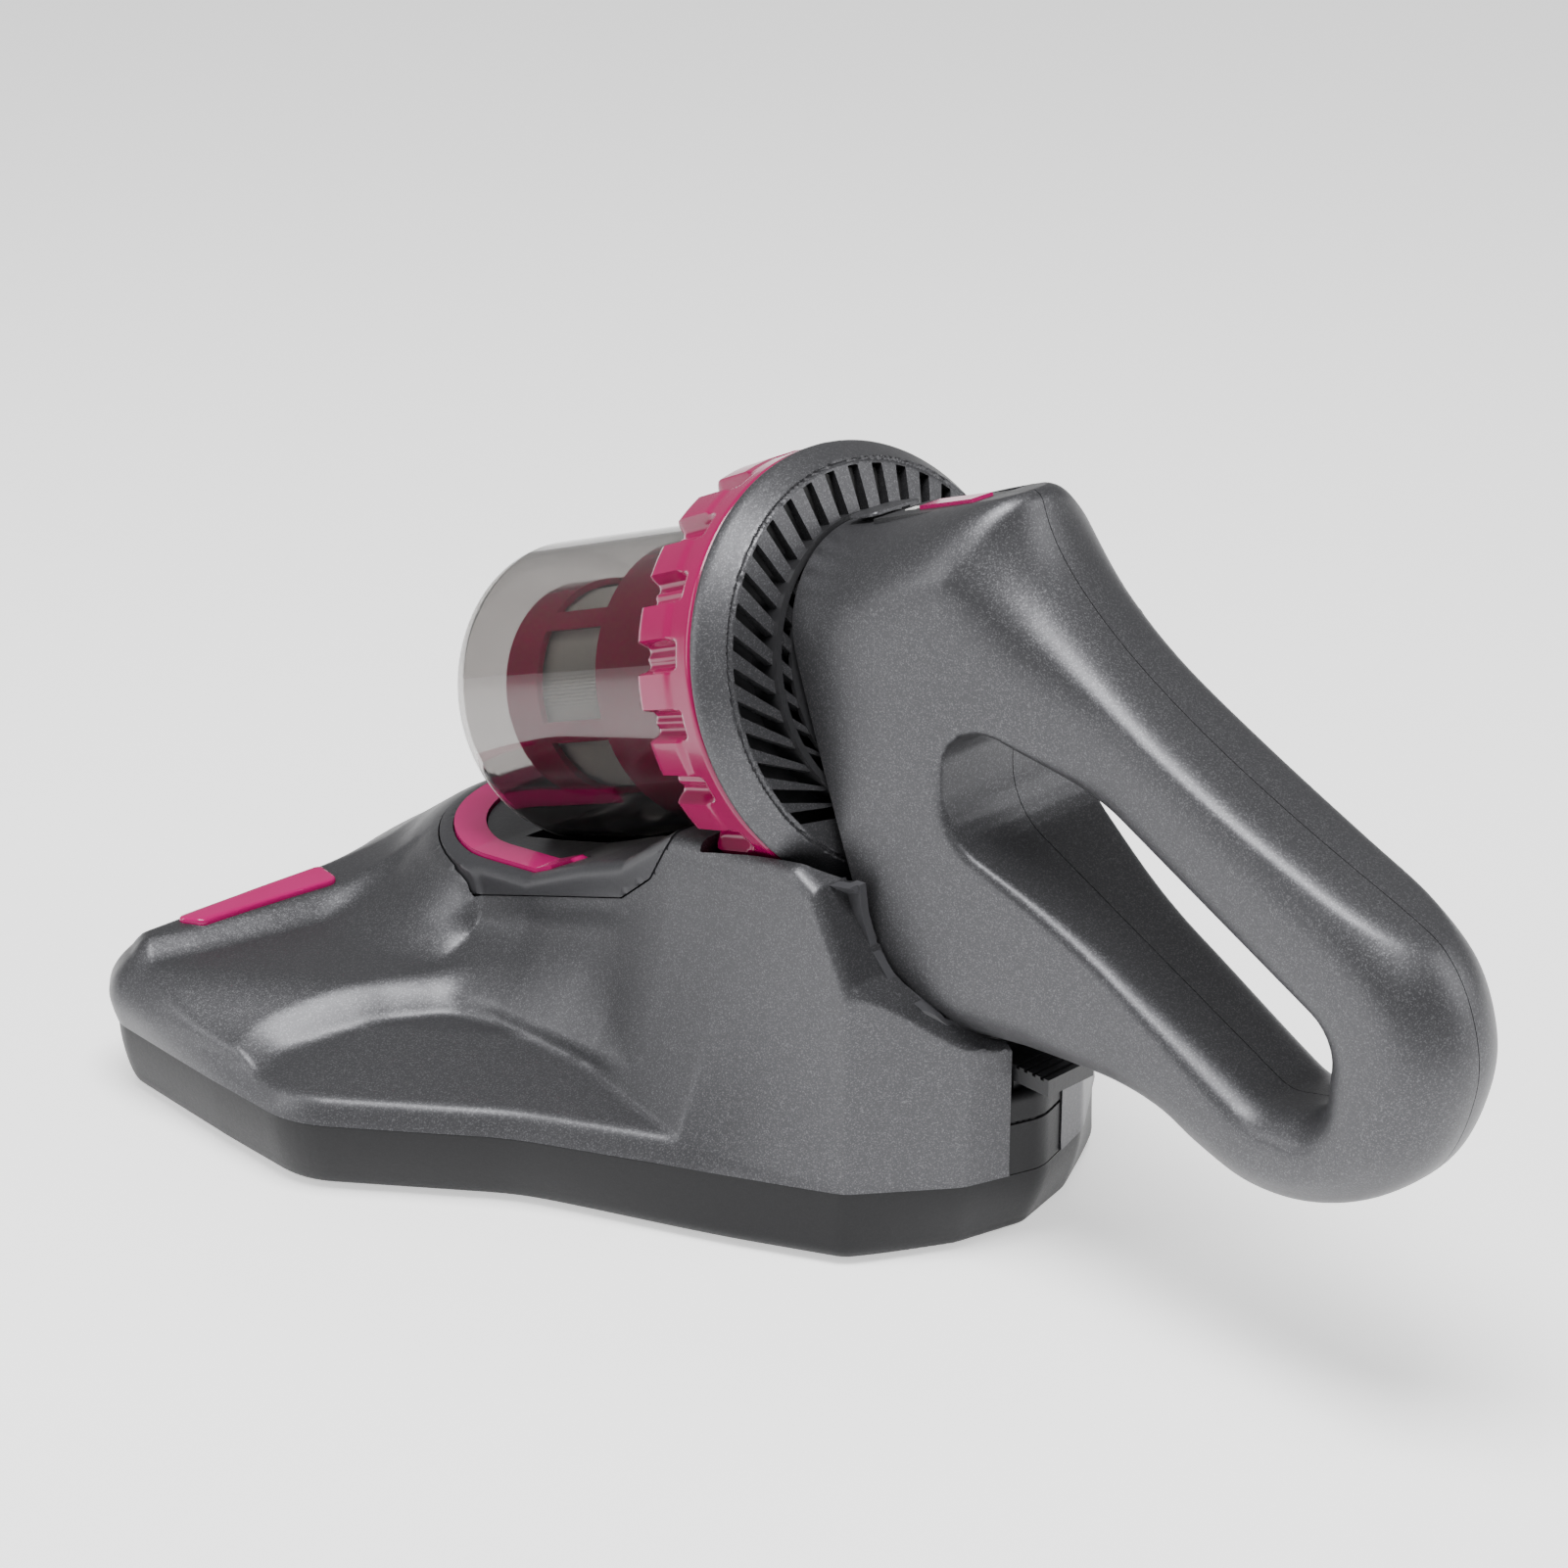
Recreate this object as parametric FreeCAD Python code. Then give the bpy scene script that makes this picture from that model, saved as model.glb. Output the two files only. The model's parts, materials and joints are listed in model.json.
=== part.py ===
import FreeCAD, Part
import os
from math import cos, sin, tan, radians, pi
from FreeCAD import Vector, Rotation, Placement

# Two-in-one bed vacuum: a wide brush head carries a hand unit that lifts off.
# World frame: millimetres, +Z up, -Y towards the nose, origin under the middle.
# Hand frame: x across, v up and square to the cup's axis, s forwards along it.

TILT = 20.0                          # the cup's axis points this far down
HAND_ORIGIN = Vector(0, -10, 151)    # centre of the flange's front face
HAND = Placement(HAND_ORIGIN, Rotation(Vector(1, 0, 0), 90 + TILT))
HALF_LENGTH = 199.5                  # whole machine, nose to handle tail
WALL = 2.5                           # moulded shell thickness
GAP = 1.0                            # air between hand unit and head

# Hand unit
CUP_R, CUP_WALL, CUP_BACK, CUP_FRONT = 44.5, 2.0, 16.0, 136.0
RING_R, RING_FRONT, RING_TEETH = 59.0, 29.5, 20
FLANGE_R, FLANGE_DEEP = 62.5, 13.0
CAGE_R, CAGE_FRONT = 32.0, 123.0
CAGE_BASE_R, CAGE_BASE_FRONT = 40.0, 70.0
WINDOW_HALF, WINDOW_TURN = 13.0, 20.0
FAN_R = 36.0
MOTOR_R, MOTOR_LONG = 21.0, 42.0
GRIP_R = 19.5                        # handle tube
TUBE_WALL = 2.6
TAIL_BEND = 34.0                     # centre line radius at the tail
TAIL_CENTRE = Vector(0, HALF_LENGTH - GRIP_R - TAIL_BEND, 96)
ARM_SLOPE = radians(24.4)
ARM_WAY = Vector(0, cos(ARM_SLOPE), -sin(ARM_SLOPE))
ARM_LIFT = Vector(0, sin(ARM_SLOPE), cos(ARM_SLOPE)) * TAIL_BEND
UPPER_ARM = (TAIL_CENTRE + ARM_LIFT - ARM_WAY * 104, TAIL_CENTRE + ARM_LIFT)
LOWER_ARM = (TAIL_CENTRE - ARM_LIFT, TAIL_CENTRE - ARM_LIFT - ARM_WAY * 70)
SCREWS = [(150, 131.5), (141, 62.5), (62, 108)]    # case screws: (y, z)
CELL_R, CELL_LONG = 9.1, 65.0
SOCKET = Vector(-32.5, 62, 178)      # outer end of the charging socket
SOCKET_R, SOCKET_BORE = 3.9, 2.75
PANEL_HALF, PANEL_BACK, PANEL_FRONT = 10.3, -65.8, -26.2
PANEL_LOW, PANEL_TOP = 38.4, 40.9
BUTTON_HALF, BUTTON_BACK, BUTTON_FRONT = 4.0, -58.0, -38.0
LENS_HALF, LENS_MIDDLE = 2.0, -32.0

# Head
PARTING = 22.0                       # joint between upper and lower shell
DECK = 46.0                          # top of the wings
FLOOR = 4.0                          # underside of the lower shell
OUTLINE = [(0, 60), (22, 51), (49, 31), (96, -54), (135, -103), (136, -140),
           (134, -190), (126, -HALF_LENGTH), (0, -HALF_LENGTH)]
ROLLER_Y, ROLLER_Z = -166.0, 20.0
CORE_R, BRISTLE_R, SHAFT_R, BORE_R = 11.0, 19.4, 3.0, 3.05
ROLLER_HALF = 98.0
PULLEY_R, PINION_R, BELT_THICK, BELT_GAP = 10.0, 6.0, 1.4, 0.3
PINION_Y = -122.0
PULLEY_X, PULLEY_WIDE = 104.0, 7.0
PORT_R, PORT_S = 14.0, 98.0          # air way from the head into the cup
LATCH_TOP, LATCH_HALF = 56.0, 9.0
BEARING_LEFT, BEARING_RIGHT, BEARING_LONG, BEARING_R = -107.5, 109.5, 4.5, 7.0
MOTOR_CAN_R = 12.0
REAR_WHEEL = (29.0, 22.0, 11.0, 9.0)       # x, y, radius, width
FRONT_WHEEL = (118.0, -122.0, 7.0, 7.0)

X, Y, Z = Vector(1, 0, 0), Vector(0, 1, 0), Vector(0, 0, 1)
FAR = 500.0


# ---------------------------------------------------------------- shape tools
def box(x0, x1, y0, y1, z0, z1):
    return Part.makeBox(x1 - x0, y1 - y0, z1 - z0, Vector(x0, y0, z0))


def rod(radius, start, direction, length):
    return Part.makeCylinder(radius, length, start, direction)


def tube(outer, inner, start, direction, length):
    return rod(outer, start, direction, length).cut(rod(inner, start, direction, length))


def prism(points, direction):
    """Extrude a closed outline of 3-D points."""
    loop = Part.makePolygon(points + points[:1])
    return Part.Face(loop).extrude(direction)


def join(shapes):
    whole = shapes[0]
    for shape in shapes[1:]:
        whole = whole.fuse(shape)
    return whole.removeSplitter()


def in_hand(shape):
    """Move a shape drawn in hand coordinates to its place on the machine."""
    return shape.transformed(HAND.toMatrix(), True)


def hand_point(x, v, s):
    return HAND.multVec(Vector(x, v, s))


def disc(radius, s0, s1):
    return rod(radius, Vector(0, 0, s0), Z, s1 - s0)


def ring(outer, inner, s0, s1):
    return disc(outer, s0, s1).cut(disc(inner, s0, s1))


def mirrored(points):
    """Close a half outline of (x, other) pairs about x = 0."""
    left = [(-x, other) for x, other in reversed(points) if x > 0]
    return points + left


def save(name, shape):
    solids = shape.Solids
    whole = solids[0] if len(solids) == 1 else Part.makeCompound(solids)
    whole.exportStep("parts/%s.step" % name)
    print("%-20s %d solids  %9.0f mm3  valid %s" % (name, len(solids), whole.Volume, whole.isValid()))


# ------------------------------------------------------- hand unit, cup group
def dust_cup():
    """Clear bucket with a rounded front corner and an air port underneath."""
    corner = 7.0
    outside = disc(CUP_R, CUP_BACK, CUP_FRONT)
    front_edge = [e for e in outside.Edges
                  if isinstance(e.Curve, Part.Circle) and e.CenterOfMass.z > CUP_FRONT - 1]
    outside = outside.makeFillet(corner, front_edge)
    inside = disc(CUP_R - CUP_WALL, CUP_BACK - 1, CUP_FRONT - CUP_WALL)
    inner_edge = [e for e in inside.Edges
                  if isinstance(e.Curve, Part.Circle) and e.CenterOfMass.z > CUP_FRONT - CUP_WALL - 1]
    inside = inside.makeFillet(corner - CUP_WALL, inner_edge)
    port = rod(PORT_R - 1, Vector(0, 0, PORT_S), -Y, CUP_R + 5)
    return outside.cut(inside).cut(port)


def twist_ring():
    """Scalloped grip ring that carries the cup and its bayonet."""
    body = ring(RING_R, CUP_R + 0.05, 1.0, RING_FRONT)
    for i in range(RING_TEETH):
        angle = 360.0 * i / RING_TEETH
        notch = box(RING_R - 3.0, RING_R + 3, -4.5, 4.5, 15.0, RING_FRONT + 1)
        notch.rotate(Vector(0, 0, 0), Z, angle)
        body = body.cut(notch)
    return body.fuse(ring(CUP_R + 0.05, CUP_R - 3, 4.0, CUP_BACK)).removeSplitter()


# ---------------------------------------------------- hand unit, filter group
def filter_cage():
    """Basket that holds the filter: a wide base tube, six windows and a closed nose ring."""
    shell = ring(CAGE_R, CAGE_R - 2, CAGE_BASE_FRONT - 2, CAGE_FRONT)
    for i in range(6):
        window = box(10, CAGE_R + 2, -WINDOW_HALF, WINDOW_HALF, CAGE_BASE_FRONT + 4, CAGE_FRONT - 15)
        window.rotate(Vector(0, 0, 0), Z, 60.0 * i + WINDOW_TURN)
        shell = shell.cut(window)
    base = ring(CAGE_BASE_R, CAGE_BASE_R - 2, 6.0, CAGE_BASE_FRONT)
    shoulder = ring(CAGE_BASE_R, CAGE_R - 2, CAGE_BASE_FRONT - 2, CAGE_BASE_FRONT)
    nose = disc(CAGE_R, CAGE_FRONT - 2, CAGE_FRONT).cut(disc(9.0, CAGE_FRONT - 3, CAGE_FRONT + 1))
    return join([shell, base, shoulder, nose])


def pleated_filter():
    """Pleated paper: a star outline drawn along the axis round an open core."""
    outer, inner, pleats = CAGE_R - 2.6, CAGE_R - 6.5, 36
    points = []
    for i in range(2 * pleats):
        radius = outer if i % 2 == 0 else inner
        angle = pi * i / pleats
        points.append(Vector(radius * cos(angle), radius * sin(angle), 8.0))
    star = prism(points, Z * (CAGE_FRONT - 14))
    return star.cut(disc(inner - 2, 7.0, CAGE_FRONT))


def filter_seal():
    return ring(41.0, 28.0, 3.4, 5.9)


# ------------------------------------------- hand unit, fan, motor and flange
def exhaust_grille():
    """Wide border ring and the slotted plate that lets the air out behind it."""
    rim = ring(FLANGE_R, 56.0, -FLANGE_DEEP + 3, 0.0)
    plate = ring(FLANGE_R, 24.0, -FLANGE_DEEP, -FLANGE_DEEP + 3)
    focus = Vector(0, -38, -FLANGE_DEEP - 1)
    for i in range(-9, 10):
        angle = 90.0 - 11.0 * i
        slot = box(39.0, 90.0, -1.6, 1.6, 0, 5)
        slot.rotate(Vector(0, 0, 0), Z, angle)
        slot.translate(focus)
        plate = plate.cut(slot.common(ring(54.0, 38.0, -FLANGE_DEEP - 2, 0)))
    return join([rim, plate])


def fan_housing():
    """Cup-side bulkhead: takes the cage, the bayonet and the fan's inlet."""
    front = ring(55.5, 14.0, 0.4, 3.2).cut(ring(FLANGE_R, 41.5, 0.9, 4))
    wall = ring(42.0, 40.0, -9.5, 0.4)
    return join([front, wall])


def fan_impeller():
    """Back plate, hub and twelve vanes."""
    pieces = [ring(FAN_R, 3.0, -9.0, -7.6), ring(8.0, 3.0, -7.6, -2.0)]
    for i in range(12):
        vane = box(7.5, FAN_R, -0.6, 0.6, -7.6, -2.4)
        vane.rotate(Vector(0, 0, 0), Z, 30.0 * i)
        pieces.append(vane)
    return join(pieces)


def motor_shaft():
    return disc(3.0, -20.0, -1.0)


def fan_motor():
    """Can with a bore for its own shaft, and a rear vent boss."""
    can = ring(MOTOR_R, BORE_R, -12.6 - MOTOR_LONG, -13.4)
    return can.cut(disc(4.0, -12.6 - MOTOR_LONG - 1, -22.0))


def motor_mount():
    """Rubber sleeve between the can and the body shells."""
    return ring(MOTOR_R + 2.5, MOTOR_R + 0.05, -48.0, -24.0)


# -------------------------------------------------------- hand unit, the body
def block_outline(grow):
    """The body seen along the axis: (x, v), a tall arch that narrows below."""
    half = [(0, 41.4), (12, 40.8), (21, 36), (29, 27), (33.5, 14), (35, 0), (34.5, -20),
            (34.5, -60), (31, -78), (24, -92), (13, -100), (0, -101.5)]
    return [(x + grow if x > 0 else 0, v + (grow if v > 20 else 0) - (grow if v < -75 else 0))
            for x, v in half]


def side_outline(shrink):
    """The body seen from the side: (y, z) of the block between flange and loop."""
    g = shrink
    front_low = (34.5 + g, 66 + g)
    front_high = (-9.8 + g, 192.0 - g)
    return [front_low, front_high, (-8 + g, 196.8 - g), (57.5 - g, 219.8 - g), (61.5 - g, 216 - g),
            (69.5 - g, 192 - g), (82 - g, 172 - g), (70 - g, 150 - g), (54 - g, 147 - g),
            (48.5 - g, 140), (47.2 - g, 133), (49 - g, 127 - g), (56 - g, 120.5 - g),
            (82 - g, 108 - g), (82 - g, 82 + g), (62 - g, 68 + g), (46 - g, 62 + g), (38 + g, 62 + g)]


def body_block(shrink):
    across = [Vector(-60, y, z) for y, z in side_outline(shrink)]
    side = prism(across, X * 120)
    outline = mirrored(block_outline(-shrink))
    along = [hand_point(x, v, -FLANGE_DEEP - 0.4) for x, v in outline]
    front = prism(along, HAND.Rotation.multVec(Vector(0, 0, -150)))
    return side.common(front)


def loop_tube(radius):
    """Two parallel arms and the half ring that joins them at the tail."""
    section = Part.Face(Part.Wire(Part.makeCircle(radius, UPPER_ARM[1], ARM_WAY)))
    bend = section.revolve(TAIL_CENTRE, X, -180)
    upper = rod(radius, UPPER_ARM[0], ARM_WAY, (UPPER_ARM[1] - UPPER_ARM[0]).Length)
    lower = rod(radius, LOWER_ARM[1], ARM_WAY, (LOWER_ARM[0] - LOWER_ARM[1]).Length)
    return join([upper, bend, lower, Part.makeSphere(radius, UPPER_ARM[0])])


def panel_recess():
    """Pocket in the top of the body for the control panel and its button."""
    half = PANEL_HALF + 0.2
    return in_hand(box(-half, half, 37.0, 60.0, PANEL_BACK - 0.2, PANEL_FRONT + 0.2))


def body_hollow():
    inside = body_block(WALL)
    return join([inside, loop_tube(GRIP_R - TUBE_WALL)])


def socket_hole():
    return rod(SOCKET_R + 0.1, SOCKET - X * 27.5, X, 50)


def body_shells():
    outside = join([body_block(0), loop_tube(GRIP_R)])
    shell = outside.cut(body_hollow()).cut(panel_recess()).cut(socket_hole())
    shell = shell.cut(in_hand(disc(25.0, -20.0, -FLANGE_DEEP + 1)))
    for y, z in SCREWS:
        boss = rod(4.6, Vector(-40, y, z), X, 80).common(outside)
        boss = boss.cut(rod(3.1, Vector(-40, y, z), X, 31)).cut(rod(1.45, Vector(-9, y, z), X, 12.5))
        shell = shell.cut(rod(3.1, Vector(-40, y, z), X, 31)).fuse(boss)
    rib = in_hand(ring(45, MOTOR_R + 2.55, -42, -39).common(box(-60, 60, -60, 28, -60, 0)))
    shell = shell.fuse(rib.common(body_block(1.0))).removeSplitter()
    right = shell.common(box(0, FAR, -FAR, FAR, -FAR, FAR))
    left = shell.common(box(-FAR, 0, -FAR, FAR, -FAR, FAR))
    return left, right


def control_panel():
    """Cover plate with a slot for the button and a square hole for the lens."""
    plate = box(-PANEL_HALF, PANEL_HALF, PANEL_LOW, PANEL_TOP, PANEL_BACK, PANEL_FRONT)
    half = BUTTON_HALF + 0.3
    slot = box(-half, half, 30, 50, BUTTON_BACK - 0.3, BUTTON_FRONT + 0.3)
    half = LENS_HALF + 0.2
    lens = box(-half, half, 30, 50, LENS_MIDDLE - half, LENS_MIDDLE + half)
    return in_hand(plate.cut(slot).cut(lens))


def power_button():
    """Sliding cap; its wider foot runs under the panel."""
    foot_top = PANEL_LOW - 0.4
    cap = box(-BUTTON_HALF, BUTTON_HALF, foot_top, PANEL_TOP + 1.0, BUTTON_BACK, BUTTON_FRONT)
    half = BUTTON_HALF + 1.5
    foot = box(-half, half, foot_top - 2.1, foot_top, BUTTON_BACK - 1.5, BUTTON_FRONT + 1.5)
    return in_hand(join([cap, foot]))


def indicator_lens():
    return in_hand(box(-LENS_HALF, LENS_HALF, PANEL_LOW, PANEL_TOP + 0.2,
                       LENS_MIDDLE - LENS_HALF, LENS_MIDDLE + LENS_HALF))


def front_cap():
    """Small cap that closes the top of the body in front of the panel."""
    return in_hand(box(-9.0, 9.0, 41.45, 42.8, -25.0, -15.0))


def circuit_board():
    return in_hand(box(-9.5, 9.5, 30.0, 31.6, -62.0, -26.0))


def battery_cells():
    """Three round cells in line inside the loop."""
    first = rod(CELL_R, UPPER_ARM[0] + ARM_WAY * 12, ARM_WAY, CELL_LONG)
    second = rod(CELL_R, LOWER_ARM[1] + ARM_WAY * 3, ARM_WAY, CELL_LONG)
    third = in_hand(rod(CELL_R, Vector(0, -29, -28.0), -Y, CELL_LONG))
    return Part.makeCompound([first, second, third])


def charge_socket():
    """Barrel socket with a centre pin, closed at its inner end."""
    barrel = tube(SOCKET_R, SOCKET_BORE, SOCKET, X, 10.0)
    back = rod(SOCKET_R, SOCKET + X * 10.0, X, 2.5)
    pin = rod(1.0, SOCKET + X * 1.5, X, 8.5)
    return join([barrel, back, pin])


def body_screws():
    """Case screws: heads sunk in the left shell, shanks across the seam."""
    screws = []
    for y, z in SCREWS:
        head = rod(3.0, Vector(-11, y, z), X, 2.0)
        shank = rod(1.4, Vector(-9, y, z), X, 12.0)
        screws.append(head.fuse(shank))
    return Part.makeCompound(screws)


# ------------------------------------------------------------ head, the cases
def plan(points, z, inset=0.0):
    """Head outline at one height, pulled in by an inset."""
    full = mirrored(points)
    loop = Part.makePolygon([Vector(x, y, z) for x, y in full] + [Vector(full[0][0], full[0][1], z)])
    if inset:
        loop = loop.makeOffset2D(-inset)
    return Part.Face(loop)


def tower_outline(shrink):
    """Side view of the hump under the cup and the ears beside the flange."""
    g = shrink
    return [(-193 + g, PARTING), (-193 + g, DECK - g), (-176 + g, 62 - g), (-166 + g, 66 - g),
            (-150, 63.5 - g), (-128, 58.1 - g), (-36, 91.5 - g), (-8, 108 - g), (27 - g, 111 - g),
            (30 - g, 93 - g), (36 - g, 84 - g), (46 - g, 76 - g), (58 - g, 56 - g), (58 - g, PARTING)]


def tower(shrink):
    side = prism([Vector(-60, y, z) for y, z in tower_outline(shrink)], X * 120)
    half = [(58 - shrink, PARTING), (52 - shrink, 60), (47.5 - shrink, 112)]
    front = [(x, z) for x, z in half] + [(-x, z) for x, z in reversed(half)]
    across = prism([Vector(x, -FAR, z) for x, z in front], Y * 2 * FAR)
    rear = plan(OUTLINE, PARTING, shrink).extrude(Z * 100)
    return side.common(across).common(rear)


def hand_room(grow):
    """Space the seated hand unit takes from the head, grown by a margin."""
    cup = disc(CUP_R + GAP + grow, 20.0, CUP_FRONT + GAP + grow)
    flange = disc(FLANGE_R + GAP + grow, -FLANGE_DEEP - 1.6 - grow, RING_FRONT + 1.5 + grow)
    outline = mirrored(block_outline(GAP + grow))
    block = prism([Vector(x, v, -FLANGE_DEEP + 2) for x, v in outline], Vector(0, 0, -122))
    return in_hand(join([cup, flange, block]))


def air_port(radius):
    return rod(radius, hand_point(0, -30, PORT_S), hand_point(0, -1, 0) - hand_point(0, 0, 0), 32.0)


def latch_room():
    return box(-LATCH_HALF - 1, LATCH_HALF + 1, 43.0, 80, LATCH_TOP - 12, 90)


def wing_fall(drop):
    """Everything above the wings, which slope down from the front rail to the back."""
    return prism([Vector(-200, y, z - drop) for y, z in
                  ((-168, DECK + 0.01 + drop), (-168, DECK), (-10, 29), (90, 29), (90, 90), (-168, 90))], X * 400)


def head_upper_shell():
    deck = Part.makeLoft([plan(OUTLINE, PARTING).OuterWire, plan(OUTLINE, DECK, 5.0).OuterWire], True, True)
    low = Part.makeLoft([plan(OUTLINE, PARTING - 1, WALL).OuterWire,
                         plan(OUTLINE, DECK - WALL, 5.0 + WALL).OuterWire], True, True)
    deck = deck.cut(wing_fall(0))
    low = low.cut(wing_fall(WALL))
    shell = join([deck, tower(0)])
    shell = shell.cut(low).cut(tower(WALL)).cut(hand_room(0))
    shell = shell.cut(air_port(PORT_R + 2.2))
    rear_slot = box(-10.3, 10.3, 50, 80, PARTING - 1, 90)
    return shell.cut(rear_slot)


def head_lower_shell():
    """Tray with a brush window, wheel wells and a flat floor."""
    outside = Part.makeLoft([plan(OUTLINE, FLOOR, 4.0).OuterWire, plan(OUTLINE, PARTING, 0.6).OuterWire],
                            True, True)
    inside = Part.makeLoft([plan(OUTLINE, FLOOR + WALL, 4.0 + WALL).OuterWire,
                            plan(OUTLINE, PARTING + 1, 0.6 + WALL).OuterWire], True, True)
    tray = outside.cut(inside)
    tray = tray.cut(brush_window(0, 30))
    for x, y, radius, width in (REAR_WHEEL, FRONT_WHEEL):
        for side in (-1, 1):
            well = box(side * x - width / 2 - 2, side * x + width / 2 + 2,
                       y - radius - 2, y + radius + 2, 0, 12)
            tray = tray.cut(well)
    for spec in (REAR_WHEEL, FRONT_WHEEL):
        for side in (-1, 1):
            tray = tray.cut(axle(spec, side))
    return join([tray] + tray_posts())


def tray_posts():
    """Saddles moulded into the tray for the two bearings and the brush motor."""
    posts = []
    for x0 in (BEARING_LEFT, BEARING_RIGHT):
        seat = box(x0, x0 + BEARING_LONG, ROLLER_Y - 9, ROLLER_Y + 9, FLOOR + 1, ROLLER_Z)
        posts.append(seat.cut(rod(BEARING_R, roller_point(-150), X, 300)))
    for x0 in (56, 84):
        seat = box(x0, x0 + 4, PINION_Y - 14, PINION_Y + 14, FLOOR + 1, ROLLER_Z)
        posts.append(seat.cut(rod(MOTOR_CAN_R, Vector(0, PINION_Y, ROLLER_Z), X, 150)))
    return posts


def brush_window(z0, z1):
    return box(-101, 100, ROLLER_Y - 21.5, ROLLER_Y + 21.5, z0, z1)


def sole_plate():
    """Screwed-on frame round the brush; its two rails are the machine's skids."""
    frame = box(-122, 122, -195, -138, 0, FLOOR)
    return frame.cut(brush_window(-1, 10))


def cradle():
    """Trough inside the head that the seated hand unit drops into."""
    skin = hand_room(WALL).cut(hand_room(0))
    inside = tower(WALL + 0.1).common(box(-60, 60, -34, 60, PARTING + 4, 120))
    trough = skin.common(inside).cut(contact_box(0.3)).cut(latch_room())
    return max(trough.Solids, key=lambda solid: solid.Volume)


def slope_points(lift, y0, y1, half):
    """Corner points on the plane just under the cup."""
    return [Vector(x, y, 62.9 + (y + 123) * tan(radians(TILT)) - GAP + lift)
            for x, y in ((-half, y0), (half, y0), (half, y1), (-half, y1))]


def saddle_plate():
    """Smooth plate under the cup, with the air port through it."""
    plate = prism(slope_points(-2.2, -150, -40, 44), Z * 2.0)
    plate = plate.common(tower(-3)).cut(hand_room(-0.6))
    plate = plate.cut(tower(0)).cut(air_port(PORT_R + 1.9))
    return max(plate.Solids, key=lambda solid: solid.Volume)


def saddle_trim():
    """Bright U-shaped strip on the nose of the saddle, open towards the back."""
    outer, inner, top = 46.0, 37.0, 69.0
    bow = rod(outer, Vector(0, -128, 50), Z, top - 50)
    bow = bow.fuse(box(-outer, outer, -128, -100, 50, 90))
    hole = rod(inner, Vector(0, -128, 40), Z, 60)
    hole = hole.fuse(box(-inner, inner, -128, -99, 40, 100))
    strip = bow.cut(hole)
    skin = tower(-1.6).cut(tower(0))
    strip = strip.common(skin).cut(hand_room(0)).cut(saddle_plate())
    strip = strip.common(box(-60, 60, -190, -100, 56, 90))
    return max(strip.Solids, key=lambda solid: solid.Volume)


def trim_strip(side):
    """Bright inlay on the front rail of one wing."""
    points = [(60, -186), (114, -189), (108, -180), (62, -174)]
    return prism([Vector(side * x, y, DECK) for x, y in points], Z * 1.2)


def rear_panel():
    """Dark upright at the back that covers the latch's spring."""
    return box(-10, 10, 54.5, 57.0, PARTING, LATCH_TOP - 10.0)


def release_latch():
    """Ribbed thumb tab on a stem; its tongue points at the hand unit."""
    tab = box(-LATCH_HALF, LATCH_HALF, 49.5, 68, LATCH_TOP - 5, LATCH_TOP)
    stem = box(-6, 6, 49.5, 52.5, 36, LATCH_TOP - 5)
    for i in range(4):
        y = 56.0 + 3 * i
        tab = tab.cut(box(-20, 20, y, y + 1.2, LATCH_TOP - 0.8, LATCH_TOP + 1))
    tongue = box(-5, 5, 45.5, 49.5, LATCH_TOP - 4, LATCH_TOP - 0.5)
    return join([tab, stem, tongue])


def latch_spring():
    """Wire spring under the latch's stem, drawn as stacked turns on a thin core."""
    turns = [Part.makeTorus(2.6, 0.45, Vector(0, 51, 28.5 + 1.0 * i), Z) for i in range(8)]
    return join([tube(2.8, 2.4, Vector(0, 51, 28.0), Z, 8.0)] + turns)


def contact_box(grow):
    return box(-8 - grow, 8 + grow, 37 - grow, 44 + grow, 46 - grow, 60.0 + grow)


def contact_block():
    """Block with two sprung studs that feed the brush motor."""
    block = box(-8, 8, 37, 44, 46, 58.6)
    studs = [rod(1.2, Vector(x, 40.5, 58.6), Z, 1.4) for x in (-4, 4)]
    return join([block] + studs)


def suction_duct():
    """Flat channel from the brush chamber that turns up to the cup's port."""
    channel = box(-22, 22, -143, -56, 8.5, 31).cut(box(-20, 20, -144, -58, 10.5, 29))
    down = hand_point(0, -1, 0) - hand_point(0, 0, 0)
    top = hand_point(0, -CUP_R - 4.6, PORT_S)
    pipe = rod(PORT_R + 2, top, down, 44)
    bore = rod(PORT_R, top - down, down, 46)
    pipe = pipe.cut(box(-40, 40, -160, 0, 0, 10.4))
    inner = bore.cut(box(-40, 40, -160, 0, 0, 12.4))
    shaft_way = box(-20, 20, -144, -58, 10.5, 29)
    return join([channel, pipe.cut(shaft_way)]).cut(inner)


def duct_seal():
    """Soft lip between the duct and the cup."""
    down = hand_point(0, -1, 0) - hand_point(0, 0, 0)
    return tube(PORT_R + 1.8, PORT_R, hand_point(0, -CUP_R - 0.5, PORT_S), down, 4.0)


# ------------------------------------------------------- head, brush and drive
def roller_point(x):
    return Vector(x, ROLLER_Y, ROLLER_Z)


def brush_roller():
    core = rod(CORE_R, roller_point(-ROLLER_HALF), X, 2 * ROLLER_HALF)
    shaft = rod(SHAFT_R, roller_point(-108), X, 222)
    return core.fuse(shaft).removeSplitter()


def brush_bristles():
    """Four rows of tufts round the core."""
    rows = []
    for i in range(4):
        row = Part.makeBox(2 * ROLLER_HALF - 4, 3.0, BRISTLE_R, Vector(-ROLLER_HALF + 2, -1.5, 0))
        row = row.common(rod(BRISTLE_R, Vector(-200, 0, 0), X, 400))
        row = row.cut(rod(CORE_R, Vector(-200, 0, 0), X, 400))
        row.rotate(Vector(0, 0, 0), X, 45 + 90.0 * i)
        row.translate(Vector(0, ROLLER_Y, ROLLER_Z))
        rows.append(row)
    return Part.makeCompound(rows)


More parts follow.
